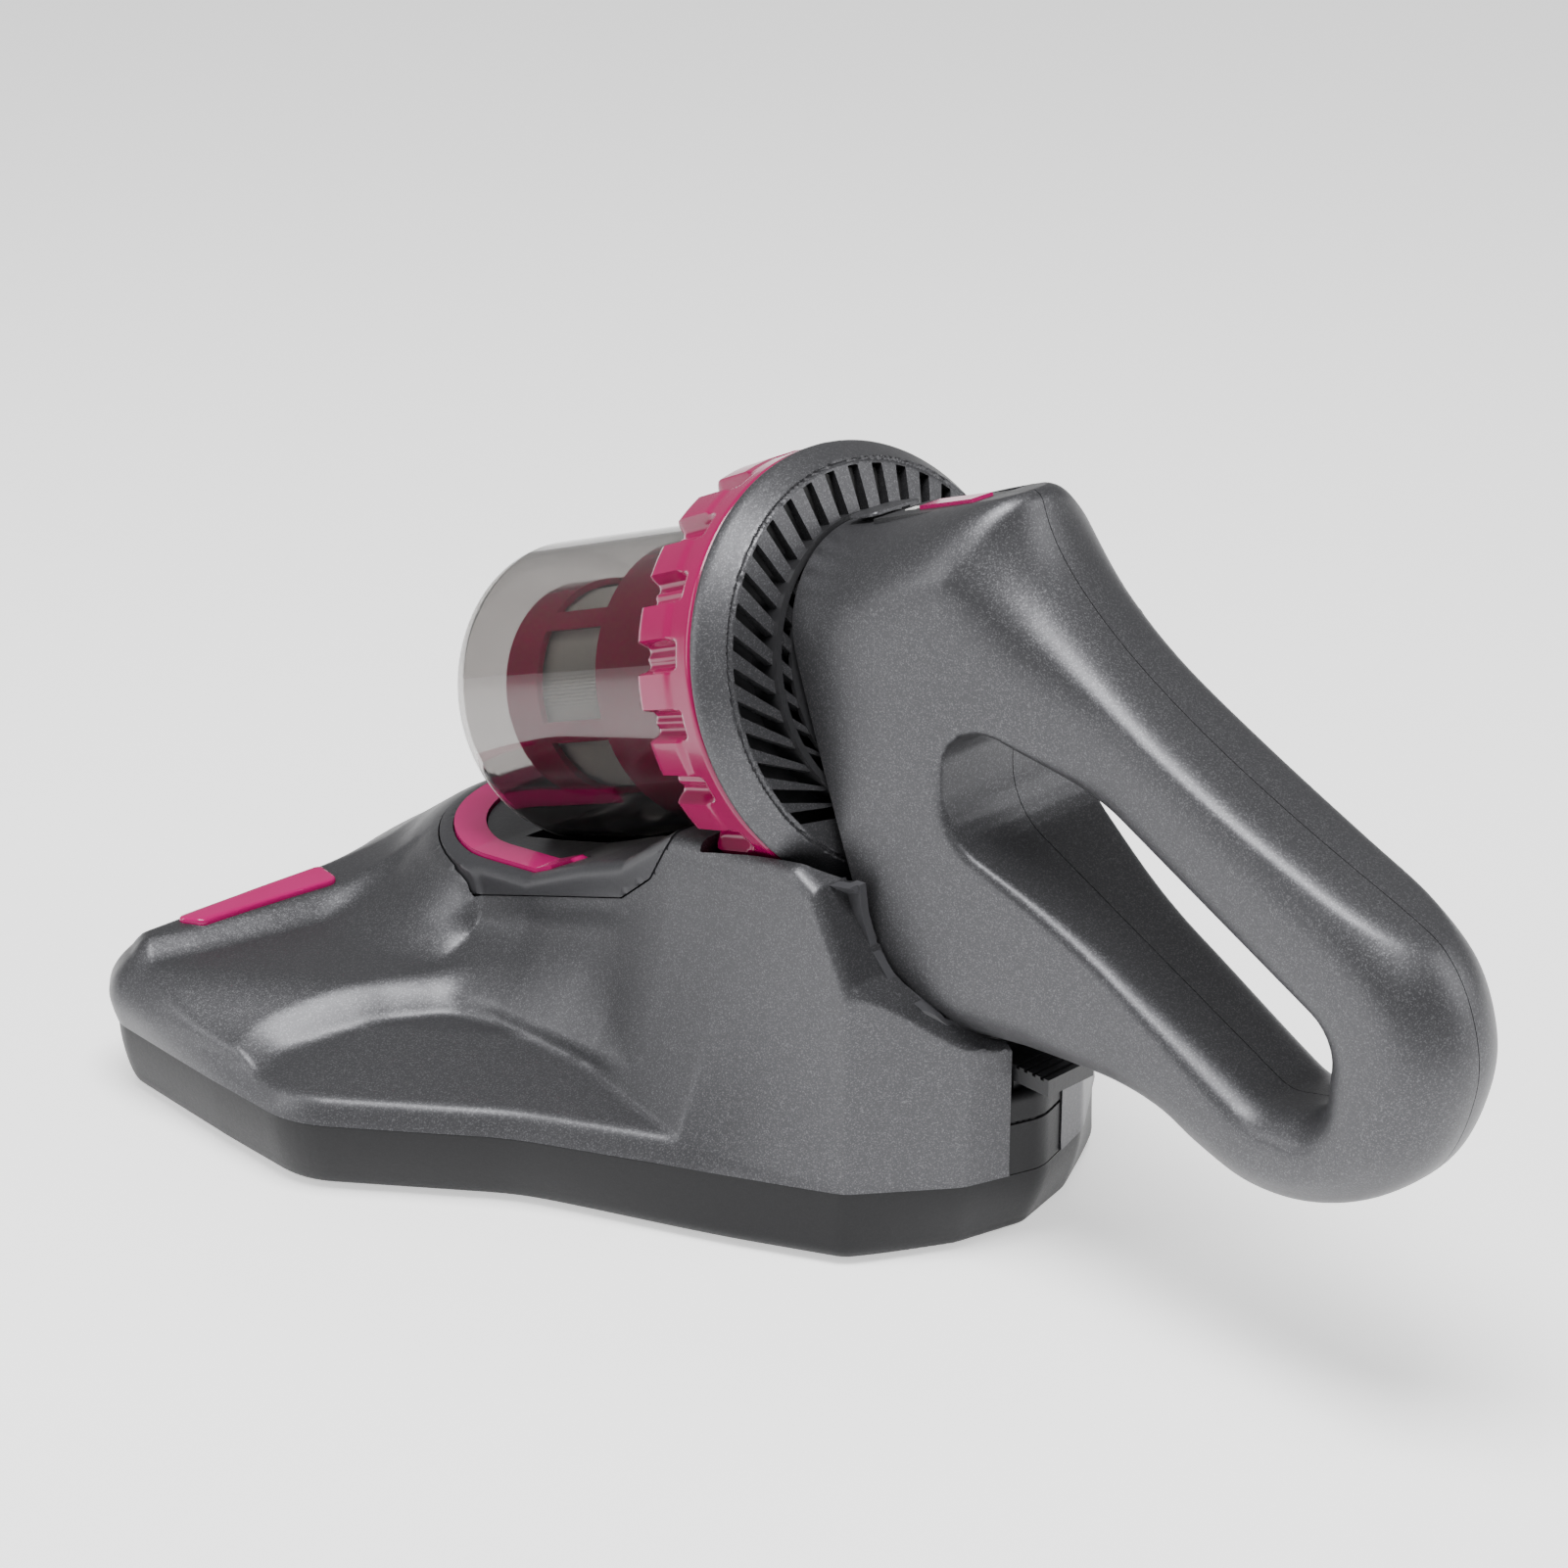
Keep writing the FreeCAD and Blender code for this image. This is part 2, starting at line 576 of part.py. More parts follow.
def brush_pulley():
    left = PULLEY_X - PULLEY_WIDE / 2
    return tube(PULLEY_R, SHAFT_R, roller_point(left), X, PULLEY_WIDE)


def bearing(x0):
    return tube(BEARING_R, BORE_R, roller_point(x0), X, BEARING_LONG)


def motor_pinion():
    left = PULLEY_X - PULLEY_WIDE / 2
    wheel = rod(PINION_R, Vector(left, PINION_Y, ROLLER_Z), X, PULLEY_WIDE)
    return wheel.fuse(rod(1.5, Vector(82, PINION_Y, ROLLER_Z), X, left - 82)).removeSplitter()


def belt_loop(thick):
    """Outline hull of two circles, grown by a thickness, as one solid."""
    far, near = PULLEY_R + thick, PINION_R + thick
    span = PINION_Y - ROLLER_Y
    lean = (far - near) / span
    rise = (1 - lean * lean) ** 0.5
    left = PULLEY_X - 2.5
    corners = []
    for y, radius, sign in ((ROLLER_Y, far, 1), (PINION_Y, near, 1), (PINION_Y, near, -1), (ROLLER_Y, far, -1)):
        corners.append(Vector(left, y + radius * lean, ROLLER_Z + sign * radius * rise))
    band = prism(corners, X * 5)
    ends = [rod(far, Vector(left, ROLLER_Y, ROLLER_Z), X, 5), rod(near, Vector(left, PINION_Y, ROLLER_Z), X, 5)]
    return join([band] + ends)


def drive_belt():
    return belt_loop(BELT_GAP + BELT_THICK).cut(belt_loop(BELT_GAP))


def brush_motor():
    can = rod(MOTOR_CAN_R, Vector(50, PINION_Y, ROLLER_Z), X, 46)
    return can.cut(rod(1.55, Vector(80, PINION_Y, ROLLER_Z), X, 30))


def wheel(spec, side):
    x, y, radius, width = spec
    left = side * x - width / 2
    return tube(radius, 2.05, Vector(left, y, radius + 0.2), X, width)


def axle(spec, side):
    x, y, radius, width = spec
    left = side * x - width / 2 - 3.0
    return rod(2.0, Vector(left, y, radius + 0.2), X, width + 6.0)


def head_screws():
    """Screws that hold the lower shell to the upper one."""
    places = [(112, -92), (-112, -92), (30, -48), (-30, -48)]
    screws = []
    for x, y in places:
        head = rod(3.2, Vector(x, y, FLOOR + WALL), Z, 2.2)
        shank = rod(1.5, Vector(x, y, FLOOR + WALL + 2.2), Z, 10.0)
        screws.append(head.fuse(shank))
    return Part.makeCompound(screws)


def build():
    os.makedirs("parts", exist_ok=True)
    save("dust_cup", in_hand(dust_cup()))
    save("twist_ring", in_hand(twist_ring()))
    save("filter_cage", in_hand(filter_cage()))
    save("pleated_filter", in_hand(pleated_filter()))
    save("filter_seal", in_hand(filter_seal()))
    save("exhaust_grille", in_hand(exhaust_grille()))
    save("fan_housing", in_hand(fan_housing()))
    save("fan_impeller", in_hand(fan_impeller()))
    save("motor_shaft", in_hand(motor_shaft()))
    save("fan_motor", in_hand(fan_motor()))
    save("motor_mount", in_hand(motor_mount()))
    left, right = body_shells()
    save("body_shell_left", left)
    save("body_shell_right", right)
    save("control_panel", control_panel())
    save("power_button", power_button())
    save("indicator_lens", indicator_lens())
    save("front_cap", front_cap())
    save("circuit_board", circuit_board())
    save("battery_cells", battery_cells())
    save("charge_socket", charge_socket())
    save("body_screws", body_screws())
    save("head_upper_shell", head_upper_shell())
    save("head_lower_shell", head_lower_shell())
    save("sole_plate", sole_plate())
    save("cradle", cradle())
    save("saddle_plate", saddle_plate())
    save("saddle_trim", saddle_trim())
    save("rear_panel", rear_panel())
    save("release_latch", release_latch())
    save("latch_spring", latch_spring())
    save("contact_block", contact_block())
    save("suction_duct", suction_duct())
    save("duct_seal", duct_seal())
    save("brush_roller", brush_roller())
    save("brush_bristles", brush_bristles())
    save("brush_pulley", brush_pulley())
    save("bearing_left", bearing(BEARING_LEFT))
    save("bearing_right", bearing(BEARING_RIGHT))
    save("motor_pinion", motor_pinion())
    save("drive_belt", drive_belt())
    save("brush_motor", brush_motor())
    save("head_screws", head_screws())
    for name, side in (("left", -1), ("right", 1)):
        save("trim_strip_" + name, trim_strip(side))
        save("rear_wheel_" + name, wheel(REAR_WHEEL, side))
        save("rear_axle_" + name, axle(REAR_WHEEL, side))
        save("front_wheel_" + name, wheel(FRONT_WHEEL, side))
        save("front_axle_" + name, axle(FRONT_WHEEL, side))


build()
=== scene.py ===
import json
import math

import bmesh
import bpy
import numpy as np
import openvdb
from mathutils import Matrix, Vector


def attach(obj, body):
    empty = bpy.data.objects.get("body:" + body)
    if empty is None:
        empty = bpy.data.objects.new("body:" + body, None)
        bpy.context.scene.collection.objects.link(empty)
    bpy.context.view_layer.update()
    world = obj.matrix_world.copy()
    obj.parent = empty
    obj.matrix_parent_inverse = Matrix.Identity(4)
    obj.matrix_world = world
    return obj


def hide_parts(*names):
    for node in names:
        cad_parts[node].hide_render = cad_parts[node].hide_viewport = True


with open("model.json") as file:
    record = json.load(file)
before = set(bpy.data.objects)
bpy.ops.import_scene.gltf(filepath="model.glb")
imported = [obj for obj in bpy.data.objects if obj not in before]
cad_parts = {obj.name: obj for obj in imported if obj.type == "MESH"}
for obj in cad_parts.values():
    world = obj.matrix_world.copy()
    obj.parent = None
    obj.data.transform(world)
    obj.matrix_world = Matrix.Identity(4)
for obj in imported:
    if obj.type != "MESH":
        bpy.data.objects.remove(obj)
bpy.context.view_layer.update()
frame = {"nodes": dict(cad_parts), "record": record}


# ---- Handle body -------------------------------------------------------------------------------
# Two moulded halves of glass-filled nylon, painted a satin metallic grey, that close on the
# middle plane. One loop of tube makes the motor housing, the grip and the lower arm.

HAND_CENTRE = np.array([0.0, -10.0, 151.0])      # where the cup's axis meets the fan, in mm
HAND_TILT = math.radians(20.0)


def mix_between(a, b, share):
    return a + (b - a) * share


def smooth_step(value, start, end):
    t = np.clip((value - start) / (end - start), 0.0, 1.0)
    return t * t * (3.0 - 2.0 * t)


def smooth_min(a, b, radius):
    share = np.clip(0.5 + 0.5 * (b - a) / radius, 0.0, 1.0)
    return mix_between(b, a, share) - radius * share * (1.0 - share)


def smooth_max(a, b, radius):
    return -smooth_min(-a, -b, radius)


def round_max(a, b, radius):
    """Where two walls meet, an outside corner of that radius."""
    corner = np.hypot(np.maximum(a + radius, 0.0), np.maximum(b + radius, 0.0))
    return corner + np.minimum(np.maximum(a, b) + radius, 0.0) - radius


def along_hand(y, z):
    """Forward along the cup's axis from its centre, and up across it."""
    forward = -(y - HAND_CENTRE[1]) * math.cos(HAND_TILT) - (z - HAND_CENTRE[2]) * math.sin(HAND_TILT)
    up = -(y - HAND_CENTRE[1]) * math.sin(HAND_TILT) + (z - HAND_CENTRE[2]) * math.cos(HAND_TILT)
    return forward, up


def smooth_loop(points, per_span=8):
    """A closed curve through the points."""
    p = np.array(points, float)
    before, after, beyond = np.roll(p, 1, 0), np.roll(p, -1, 0), np.roll(p, -2, 0)
    loop = []
    for i in range(len(p)):
        for t in np.arange(per_span) / per_span:
            loop.append(0.5 * (2 * p[i] + (after[i] - before[i]) * t
                               + (2 * before[i] - 5 * p[i] + 4 * after[i] - beyond[i]) * t * t
                               + (3 * p[i] - before[i] - 3 * after[i] + beyond[i]) * t ** 3))
    return np.array(loop)


def rounded_polygon(corners, per_corner=7):
    """A closed outline from (a, b, radius) corners."""
    p = np.array([c[:2] for c in corners], float)
    outline = []
    for i, corner in enumerate(corners):
        back = p[i - 1] - p[i]
        ahead = p[(i + 1) % len(p)] - p[i]
        back_length, ahead_length = np.linalg.norm(back), np.linalg.norm(ahead)
        back, ahead = back / back_length, ahead / ahead_length
        half = math.acos(np.clip(back @ ahead, -1, 1)) / 2
        reach = min(corner[2] / math.tan(half), 0.48 * back_length, 0.48 * ahead_length)
        radius = reach * math.tan(half)
        middle = (back + ahead) / np.linalg.norm(back + ahead)
        centre = p[i] + middle * radius / math.sin(half)
        first, last = p[i] + back * reach - centre, p[i] + ahead * reach - centre
        for t in np.linspace(0, 1, per_corner):
            arm = mix_between(first, last, t)
            outline.append(centre + arm / np.linalg.norm(arm) * radius)
    return np.array(outline)


def outline_distance(outline, a, b):
    """Distance to a closed outline, negative inside."""
    a, b = np.broadcast_arrays(np.asarray(a, float), np.asarray(b, float))
    nearest = np.full(a.shape, 1e9)
    inside = np.zeros(a.shape, bool)
    for (a0, b0), (a1, b1) in zip(outline, np.roll(outline, -1, 0)):
        da, db = a1 - a0, b1 - b0
        t = np.clip(((a - a0) * da + (b - b0) * db) / max(da * da + db * db, 1e-9), 0.0, 1.0)
        nearest = np.minimum(nearest, (a - a0 - t * da) ** 2 + (b - b0 - t * db) ** 2)
        if b0 != b1:
            inside ^= ((b0 > b) != (b1 > b)) & (a < a0 + (b - b0) * da / db)
    return np.where(inside, -1.0, 1.0) * np.sqrt(nearest)


class Outline:
    """Distance to a closed outline, kept as a table on a fine grid so that it can be read quickly."""

    cell = 0.5

    def __init__(self, corners, margin=16.0):
        self.low = corners.min(0) - margin
        size = np.ceil((corners.max(0) + margin - self.low) / self.cell).astype(int)
        a = self.low[0] + np.arange(size[0])[:, None] * self.cell
        b = self.low[1] + np.arange(size[1])[None, :] * self.cell
        self.table = outline_distance(corners, a, b)

    def __call__(self, a, b):
        i = np.clip((a - self.low[0]) / self.cell, 0, self.table.shape[0] - 1.001)
        j = np.clip((b - self.low[1]) / self.cell, 0, self.table.shape[1] - 1.001)
        i, j = np.broadcast_arrays(i, j)
        i0, j0 = i.astype(int), j.astype(int)
        u, v = i - i0, j - j0
        near = mix_between(self.table[i0, j0], self.table[i0 + 1, j0], u)
        far = mix_between(self.table[i0, j0 + 1], self.table[i0 + 1, j0 + 1], u)
        return mix_between(near, far, v)


def add_mesh(name, points, faces, sharp_angle=35.0, merge=0.01):
    """A mesh piece from points in mm."""
    mesh = bpy.data.meshes.new(name)
    mesh.from_pydata((np.asarray(points) * 0.001).tolist(), [], [list(f) for f in faces])
    piece = bpy.data.objects.new(name, mesh)
    bpy.context.scene.collection.objects.link(piece)
    tidy_mesh(piece, sharp_angle, merge)
    return piece


def tidy_mesh(piece, sharp_angle=35.0, merge=0.01):
    """Faces look out, points closer than merge (mm) become one, and only real edges are sharp."""
    work = bmesh.new()
    work.from_mesh(piece.data)
    bmesh.ops.remove_doubles(work, verts=work.verts, dist=merge * 0.001)
    bmesh.ops.dissolve_degenerate(work, edges=work.edges, dist=0.01 * 0.001)
    bmesh.ops.recalc_face_normals(work, faces=work.faces)
    for face in work.faces:
        face.smooth = True
    for edge in work.edges:
        edge.smooth = edge.calc_face_angle(0.0) < math.radians(sharp_angle)
    work.to_mesh(piece.data)
    work.free()


def mirror_piece(piece, name, sharp_angle=35.0):
    """The same piece on the other side of the middle plane."""
    other = bpy.data.objects.new(name, piece.data.copy())
    bpy.context.scene.collection.objects.link(other)
    other.data.transform(Matrix.Scale(-1, 4, (1, 0, 0)))
    tidy_mesh(other, sharp_angle)
    return other


def carve(name, walls, low, high, step):
    """The solid where every wall(x, y, z) is negative, meshed on a grid. Each point is then drawn onto the
    walls that bound the solid in its grid cell, so edges are crisp."""
    axes = [np.arange(a, b + step, step) for a, b in zip(low, high)]
    grids = axes[0][:, None, None], axes[1][None, :, None], axes[2][None, None, :]
    counts = [len(a) for a in axes]
    heights = np.stack([np.broadcast_to(wall(*grids), counts) for wall in walls])
    full = heights.max(0)
    for axis in range(3):
        edge = [slice(None)] * 3
        for end in (0, -1):          # the grid's own sides close whatever reaches them
            edge[axis] = end
            full[tuple(edge)] = np.maximum(full[tuple(edge)], 0.3 * step)
    grid = openvdb.FloatGrid(background=3.0)
    grid.copyFromArray(np.ascontiguousarray(full, np.float32))
    points, triangles, quads = grid.convertToPolygons(isovalue=0.0, adaptivity=0.0)
    cells = np.clip(np.floor(points), 0, np.array(counts) - 2).astype(int)
    bounding = walls_in_cells(heights, cells)
    points = np.array(low) + points.astype(float) * step
    here = np.array([wall(*points.T) for wall in walls])
    bounding &= np.abs(here) < 1.2 * step
    bounding[here.argmax(0), np.arange(len(points))] = True
    start = points.copy()
    for turn in range(6):
        for wall, near in zip(walls, bounding):
            points[near] += onto_wall(wall, points[near], 0.5 * step)
        strayed = points - start
        length = np.maximum(np.linalg.norm(strayed, axis=1), 1e-9)
        points = start + strayed * np.minimum(1.0, 1.2 * step / length)[:, None]
    return add_mesh(name, points, list(triangles) + list(quads), merge=0.25 * step)


def walls_in_cells(heights, cells):
    """For each grid cell, which walls bound the solid in it."""
    around = {}
    for i, j, k in np.ndindex(2, 2, 2):
        around[i, j, k] = heights[:, cells[:, 0] + i, cells[:, 1] + j, cells[:, 2] + k]
    found = np.zeros((len(heights), len(cells)), bool)
    for first in around:
        for axis in range(3):
            if first[axis]:
                continue
            second = tuple(1 if i == axis else value for i, value in enumerate(first))
            a, b = around[first], around[second]
            top_a, top_b = a.max(0), b.max(0)
            crossing = (top_a < 0) != (top_b < 0)
            share = top_a / np.where(crossing, top_a - top_b, 1.0)
            highest = mix_between(a, b, share).argmax(0)
            found[highest, np.arange(len(cells))] |= crossing
    return found


def onto_wall(wall, points, longest):
    """The move that takes points onto a wall, no longer than that."""
    probe = 0.06
    x, y, z = points.T
    here = wall(x, y, z)
    slope = np.stack([wall(x + probe, y, z) - here, wall(x, y + probe, z) - here,
                      wall(x, y, z + probe) - here], 1) / probe
    move = -slope * (here / np.maximum((slope ** 2).sum(1), 0.05))[:, None]
    length = np.maximum(np.linalg.norm(move, axis=1), 1e-9)
    return move * np.minimum(1.0, longest / length)[:, None]


class Value:
    """One output of a shader node, which adds, multiplies and so on with other ones and with numbers."""

    def __init__(self, paint, socket):
        self.paint = paint
        self.socket = socket

    def math(self, operation, other):
        return self.paint.node("ShaderNodeMath", {"operation": operation}, self, other)[0]

    def __add__(self, other):
        return self.math("ADD", other)

    def __mul__(self, other):
        return self.math("MULTIPLY", other)

    __radd__ = __add__
    __rmul__ = __mul__

    def __sub__(self, other):
        return self.math("SUBTRACT", other)

    def __rsub__(self, other):
        return self * -1.0 + other

    def power(self, other):
        return self.math("POWER", other)

    def clamp(self):
        return self.paint.node("ShaderNodeClamp", {}, self)[0]


class Paint:
    """The node graph of one material. Its fixed properties go on the shader's own sockets."""

    def __init__(self, name, **fixed):
        self.material = bpy.data.materials.new(name)
        self.material.use_nodes = True
        self.tree = self.material.node_tree
        self.shader = self.tree.nodes["Principled BSDF"]
        for socket, value in fixed.items():
            self.shader.inputs[socket.replace("_", " ")].default_value = value

    def node(self, kind, settings, *values, **named):
        made = self.tree.nodes.new(kind)
        for key, value in settings.items():
            setattr(made, key, value)
        pairs = list(enumerate(values)) + [(k.replace("_", " "), v) for k, v in named.items()]
        for key, value in pairs:
            if isinstance(value, Value):
                self.tree.links.new(value.socket, made.inputs[key])
            elif value is not None:
                made.inputs[key].default_value = value
        return [Value(self, out) for out in made.outputs]

    def place(self):
        return self.node("ShaderNodeTexCoord", {})[3]

    def noise(self, scale, detail=2.0, roughness=0.5):
        return self.node("ShaderNodeTexNoise", {}, Vector=self.place(), Scale=scale, Detail=detail,
                         Roughness=roughness)[0]

    def flecks(self, scale):
        return self.node("ShaderNodeTexVoronoi", {"feature": "F1"}, Vector=self.place(), Scale=scale)[1]

    def blend(self, share, first, second):
        """A colour between two colours; a Mix node's colours are its sockets 6 and 7."""
        colours = (*first, 1.0), (*second, 1.0)
        return self.node("ShaderNodeMix", {"data_type": "RGBA"}, share, *[None] * 5, *colours)[2]

    def bump(self, height, strength):
        return self.node("ShaderNodeBump", {}, Strength=strength, Distance=0.0004, Height=height)[0]

    def set(self, **inputs):
        for key, value in inputs.items():
            self.tree.links.new(value.socket, self.shader.inputs[key.replace("_", " ")])
        return self.material


def metallic_paint(name, base, fleck, roughness=0.4, metallic=0.55, **fixed):
    """Satin paint with fine metal flakes: the flakes vary in brightness, the film is slightly uneven."""
    paint = Paint(name, Coat_Roughness=0.35, Coat_IOR=1.45, **fixed)
    glitter = paint.node("ShaderNodeSeparateColor", {}, paint.flecks(3300.0))[0]
    cloud = paint.noise(9.0, 3.0)
    sparkle = glitter.power(4.0) * 0.55 + cloud * 0.12
    colour = paint.blend(sparkle.clamp(), base, fleck)
    rough = glitter * 0.1 + cloud * 0.06 + (roughness - 0.08)
    film = paint.noise(700.0, 2.0)
    return paint.set(Base_Color=colour, Roughness=rough, Metallic=glitter * 0.25 + metallic,
                     Coat_Weight=cloud * 0.06 + 0.06, Normal=paint.bump(film, 0.12))


GREY = metallic_paint("grey_metallic_paint", (0.048, 0.048, 0.052), (0.19, 0.19, 0.20), 0.43, 0.6)


def wear(piece, body, material, node):
    """Gives a piece its material and its body, and hides the CAD node that it stands for."""
    piece.data.materials.clear()
    piece.data.materials.append(material)
    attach(piece, body)
    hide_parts(node)


BODY_OUTLINE = Outline(smooth_loop([
    (-30, 186.8), (0, 197.7), (20, 206), (40, 214.3), (49, 217.2), (53.5, 216.2), (56.5, 210.5), (61, 203.8),
    (67, 198), (77, 190.8), (87, 184.8), (100, 178.2), (127, 165.3), (151, 154.2), (174, 143.7),
    (190.5, 131), (198.5, 114), (198.8, 98), (191.5, 78.5), (176, 63.5), (158, 54.8), (140, 52.8),
    (123, 57), (110, 62), (95, 64), (75, 63.5), (55, 62.5), (34, 61), (-10, 62), (-60, 110),
    (-60, 170)]))
HANDLE_HOLE = Outline(rounded_polygon([
    (43.5, 163.5, 22), (80, 147.3, 60), (163.5, 106.6, 10), (162.5, 84.5, 9), (143, 79.4, 12),
    (43.5, 126.5, 20)]), 60.0)
HOLE_MIDDLE, HOLE_FALL = (57.1, 119.8), 0.47     # (y, z) on the hole's long axis, and its slope
GRIP_HALF, BLOCK_HALF = 20.0, 35.0               # half the width at the grip and at the motor
HORN_Y, HORN_TOP, HORN_RADIUS = 28.0, 220.0, 23.5
BODY_WALL = 2.6
BODY_FRONT = -10.5          # the front cut, along the hand axis
MOUTH_RADIUS, MOUTH_BACK = 27.0, -30.0
TOP_UP = 41.7               # the flat top of the block, above the hand axis
TRAY_HALF, TRAY_MIDDLE, TRAY_REACH, TRAY_UP = 10.4, -46.0, 20.0, 38.0
SEAM = 0.12                 # half the gap between the two halves


def body_tube(x, y, z):
    """The body without its hollow: a tube of changing section along the loop, with a horn over the grip."""
    x = np.abs(x)
    outer = BODY_OUTLINE(y, z)
    hole = -HANDLE_HOLE(y, z)
    half_width = GRIP_HALF + (BLOCK_HALF - GRIP_HALF) * (1.0 - smooth_step(y, 6, 96))
    below = smooth_step(HOLE_MIDDLE[1] - z - HOLE_FALL * (y - HOLE_MIDDLE[0]), -8, 8)
    edge = mix_between(smooth_step(y, 50, 95), smooth_step(y, 85, 140), below)
    outer_round = 33.0 - 7.0 * smooth_step(y, 0, 45) - 7.0 * smooth_step(y, 30, 110)
    outer_round = np.minimum(outer_round, half_width - 1)
    hole_round = 2.5 + 12.0 * edge * (1 - 0.55 * below)
    side = x - half_width
    spread = 4.0 * (np.maximum(HORN_TOP - z, 0) / 13) ** 1.9
    horn = (np.hypot(x, np.maximum(y - HORN_Y, 0)) - HORN_RADIUS - spread) * 0.7
    outside = smooth_max(round_max(outer, side, outer_round), np.where(y > 20, horn, -50), 5.0)
    return smooth_max(outside, round_max(hole, side, hole_round), 3.0)


def body_front(x, y, z):
    return along_hand(y, z)[0] - BODY_FRONT


def body_hollow(x, y, z):
    """The inside, with the mouth in front that the motor goes in through."""
    forward, up = along_hand(y, z)
    mouth = np.maximum(np.hypot(x, up) - MOUTH_RADIUS, MOUTH_BACK - forward)
    return -np.minimum(body_tube(x, y, z) + BODY_WALL, mouth)


def top_facet(x, y, z):
    return along_hand(y, z)[1] - TOP_UP + 0.0 * x


def panel_tray(x, y, z):
    """The recess in the top that the control panel lies in."""
    forward, up = along_hand(y, z)
    outline = np.maximum(np.abs(x) - TRAY_HALF, np.abs(forward - TRAY_MIDDLE) - TRAY_REACH)
    return -np.maximum(outline, TRAY_UP - up)


body_left = carve("body_shell_left_look", [body_tube, body_front, body_hollow, top_facet, panel_tray],
                  (-37, -24, 50), (1.5, 201, 223), 1.3)


def keep_left(piece):
    """Cuts a piece just left of the middle plane and closes it there."""
    work = bmesh.new()
    work.from_mesh(piece.data)
    everything = list(work.verts) + list(work.edges) + list(work.faces)
    cut = bmesh.ops.bisect_plane(work, geom=everything, plane_co=(-SEAM * 0.001, 0, 0),
                                 plane_no=(-1, 0, 0), clear_inner=True)
    edges = [e for e in cut["geom_cut"] if isinstance(e, bmesh.types.BMEdge)]
    bmesh.ops.triangle_fill(work, edges=edges, use_beauty=True)
    work.to_mesh(piece.data)
    work.free()
    tidy_mesh(piece, 40.0)


keep_left(body_left)
body_right = mirror_piece(body_left, "body_shell_right_look", 40.0)
wear(body_left, "hand_unit", GREY, "body_shell_left")
wear(body_right, "hand_unit", GREY, "body_shell_right")


# ---- Charge socket -------------------------------------------------------------------------------
# A black moulded barrel socket with a centre pin. It is pressed into the left side of the body,
# below the horn.

SOCKET_PLACE = (-0.0256, 0.062, 0.178)           # the middle of its outer face, in metres


def plain_plastic(name, base, light, roughness, grain=900.0, strength=0.15):
    """Moulded plastic or rubber: fine grain in the surface and a little cloud in the colour."""
    paint = Paint(name)
    cloud = paint.noise(22.0, 3.0)
    fine = paint.noise(grain, 2.0)
    return paint.set(Base_Color=paint.blend(cloud * 0.6 + fine * 0.4, base, light),
                     Roughness=fine * 0.12 + (roughness - 0.06), Normal=paint.bump(fine, strength))


def socket_collar():
    """A turned ring with a bore and a centre pin, made along z from its outer face inwards."""
    profile = [(3.9, -12.0), (3.9, -0.3), (3.6, 0.0), (3.0, 0.0), (2.75, -0.3), (2.75, -9.0), (1.0, -9.0),
               (1.0, -1.8), (0.7, -1.4), (0.0, -1.4)]
    count = 48
    points = [(0.0, 0.0, -12.0)]
    for radius, depth in profile[:-1]:
        for i in range(count):
            turn = 2 * math.pi * i / count
            points.append((radius * math.cos(turn), radius * math.sin(turn), depth))
    points.append((0.0, 0.0, profile[-1][1]))
    faces = [(0, 1 + (i + 1) % count, 1 + i) for i in range(count)]
    for row in range(len(profile) - 2):
        for i in range(count):
            a = 1 + row * count
            faces.append((a + i, a + (i + 1) % count, a + count + (i + 1) % count, a + count + i))
    last = 1 + (len(profile) - 2) * count
    faces += [(last + i, last + (i + 1) % count, len(points) - 1) for i in range(count)]
    return add_mesh("charge_socket_look", points, faces, 30.0)


BLACK_PLASTIC = plain_plastic("black_plastic", (0.012, 0.012, 0.013), (0.022, 0.022, 0.024), 0.42)
socket = socket_collar()
socket.data.transform(Matrix.Translation(SOCKET_PLACE) @ Matrix.Rotation(math.radians(-90), 4, "Y"))
wear(socket, "hand_unit", BLACK_PLASTIC, "charge_socket")


# ---- Exhaust grille ------------------------------------------------------------------------------
# The flange behind the cup, moulded and painted like the body: a round border, a shallow cone
# inside it and slots that fan out from the body, where the air leaves.

RIM_RADIUS = 61.5
GRILLE_BORE = 27.5
SLOTS_PER_SIDE = 14
SLOT_STEP = math.radians(9.37)
SLOT_OUTER, SLOT_END_RADIUS = 52.8, 54.4         # where a slot's middle line and the slot itself end
SLOT_FOCUS = np.array([0.0, -38.5])              # (x, up) of the point that the slots fan out from
BODY_GAP = 4.0                                   # the plain band between the slots and the body


def hand_place(piece):
    """Turns a piece made along the hand axis, as (x, up, forward), into its place."""
    turned = Matrix(((1, 0, 0, 0), (0, -math.sin(HAND_TILT), -math.cos(HAND_TILT), 0),
                     (0, math.cos(HAND_TILT), -math.sin(HAND_TILT), 0), (0, 0, 0, 1)))
    piece.data.transform(Matrix.Translation(Vector(HAND_CENTRE * 0.001)) @ turned)
    return piece


def body_front_half_width(up):
    """Half the body's width where it meets the grille."""
    return np.interp(up, (-45, -38.3, -32.3, -27.2, -19.3, -2.5, 16.7, 25.4, 33.4, 39.5, 40.5),
                     (38, 33, 29.1, 29.5, 32.4, 35.1, 32.3, 27.6, 19.8, 8.4, 0))


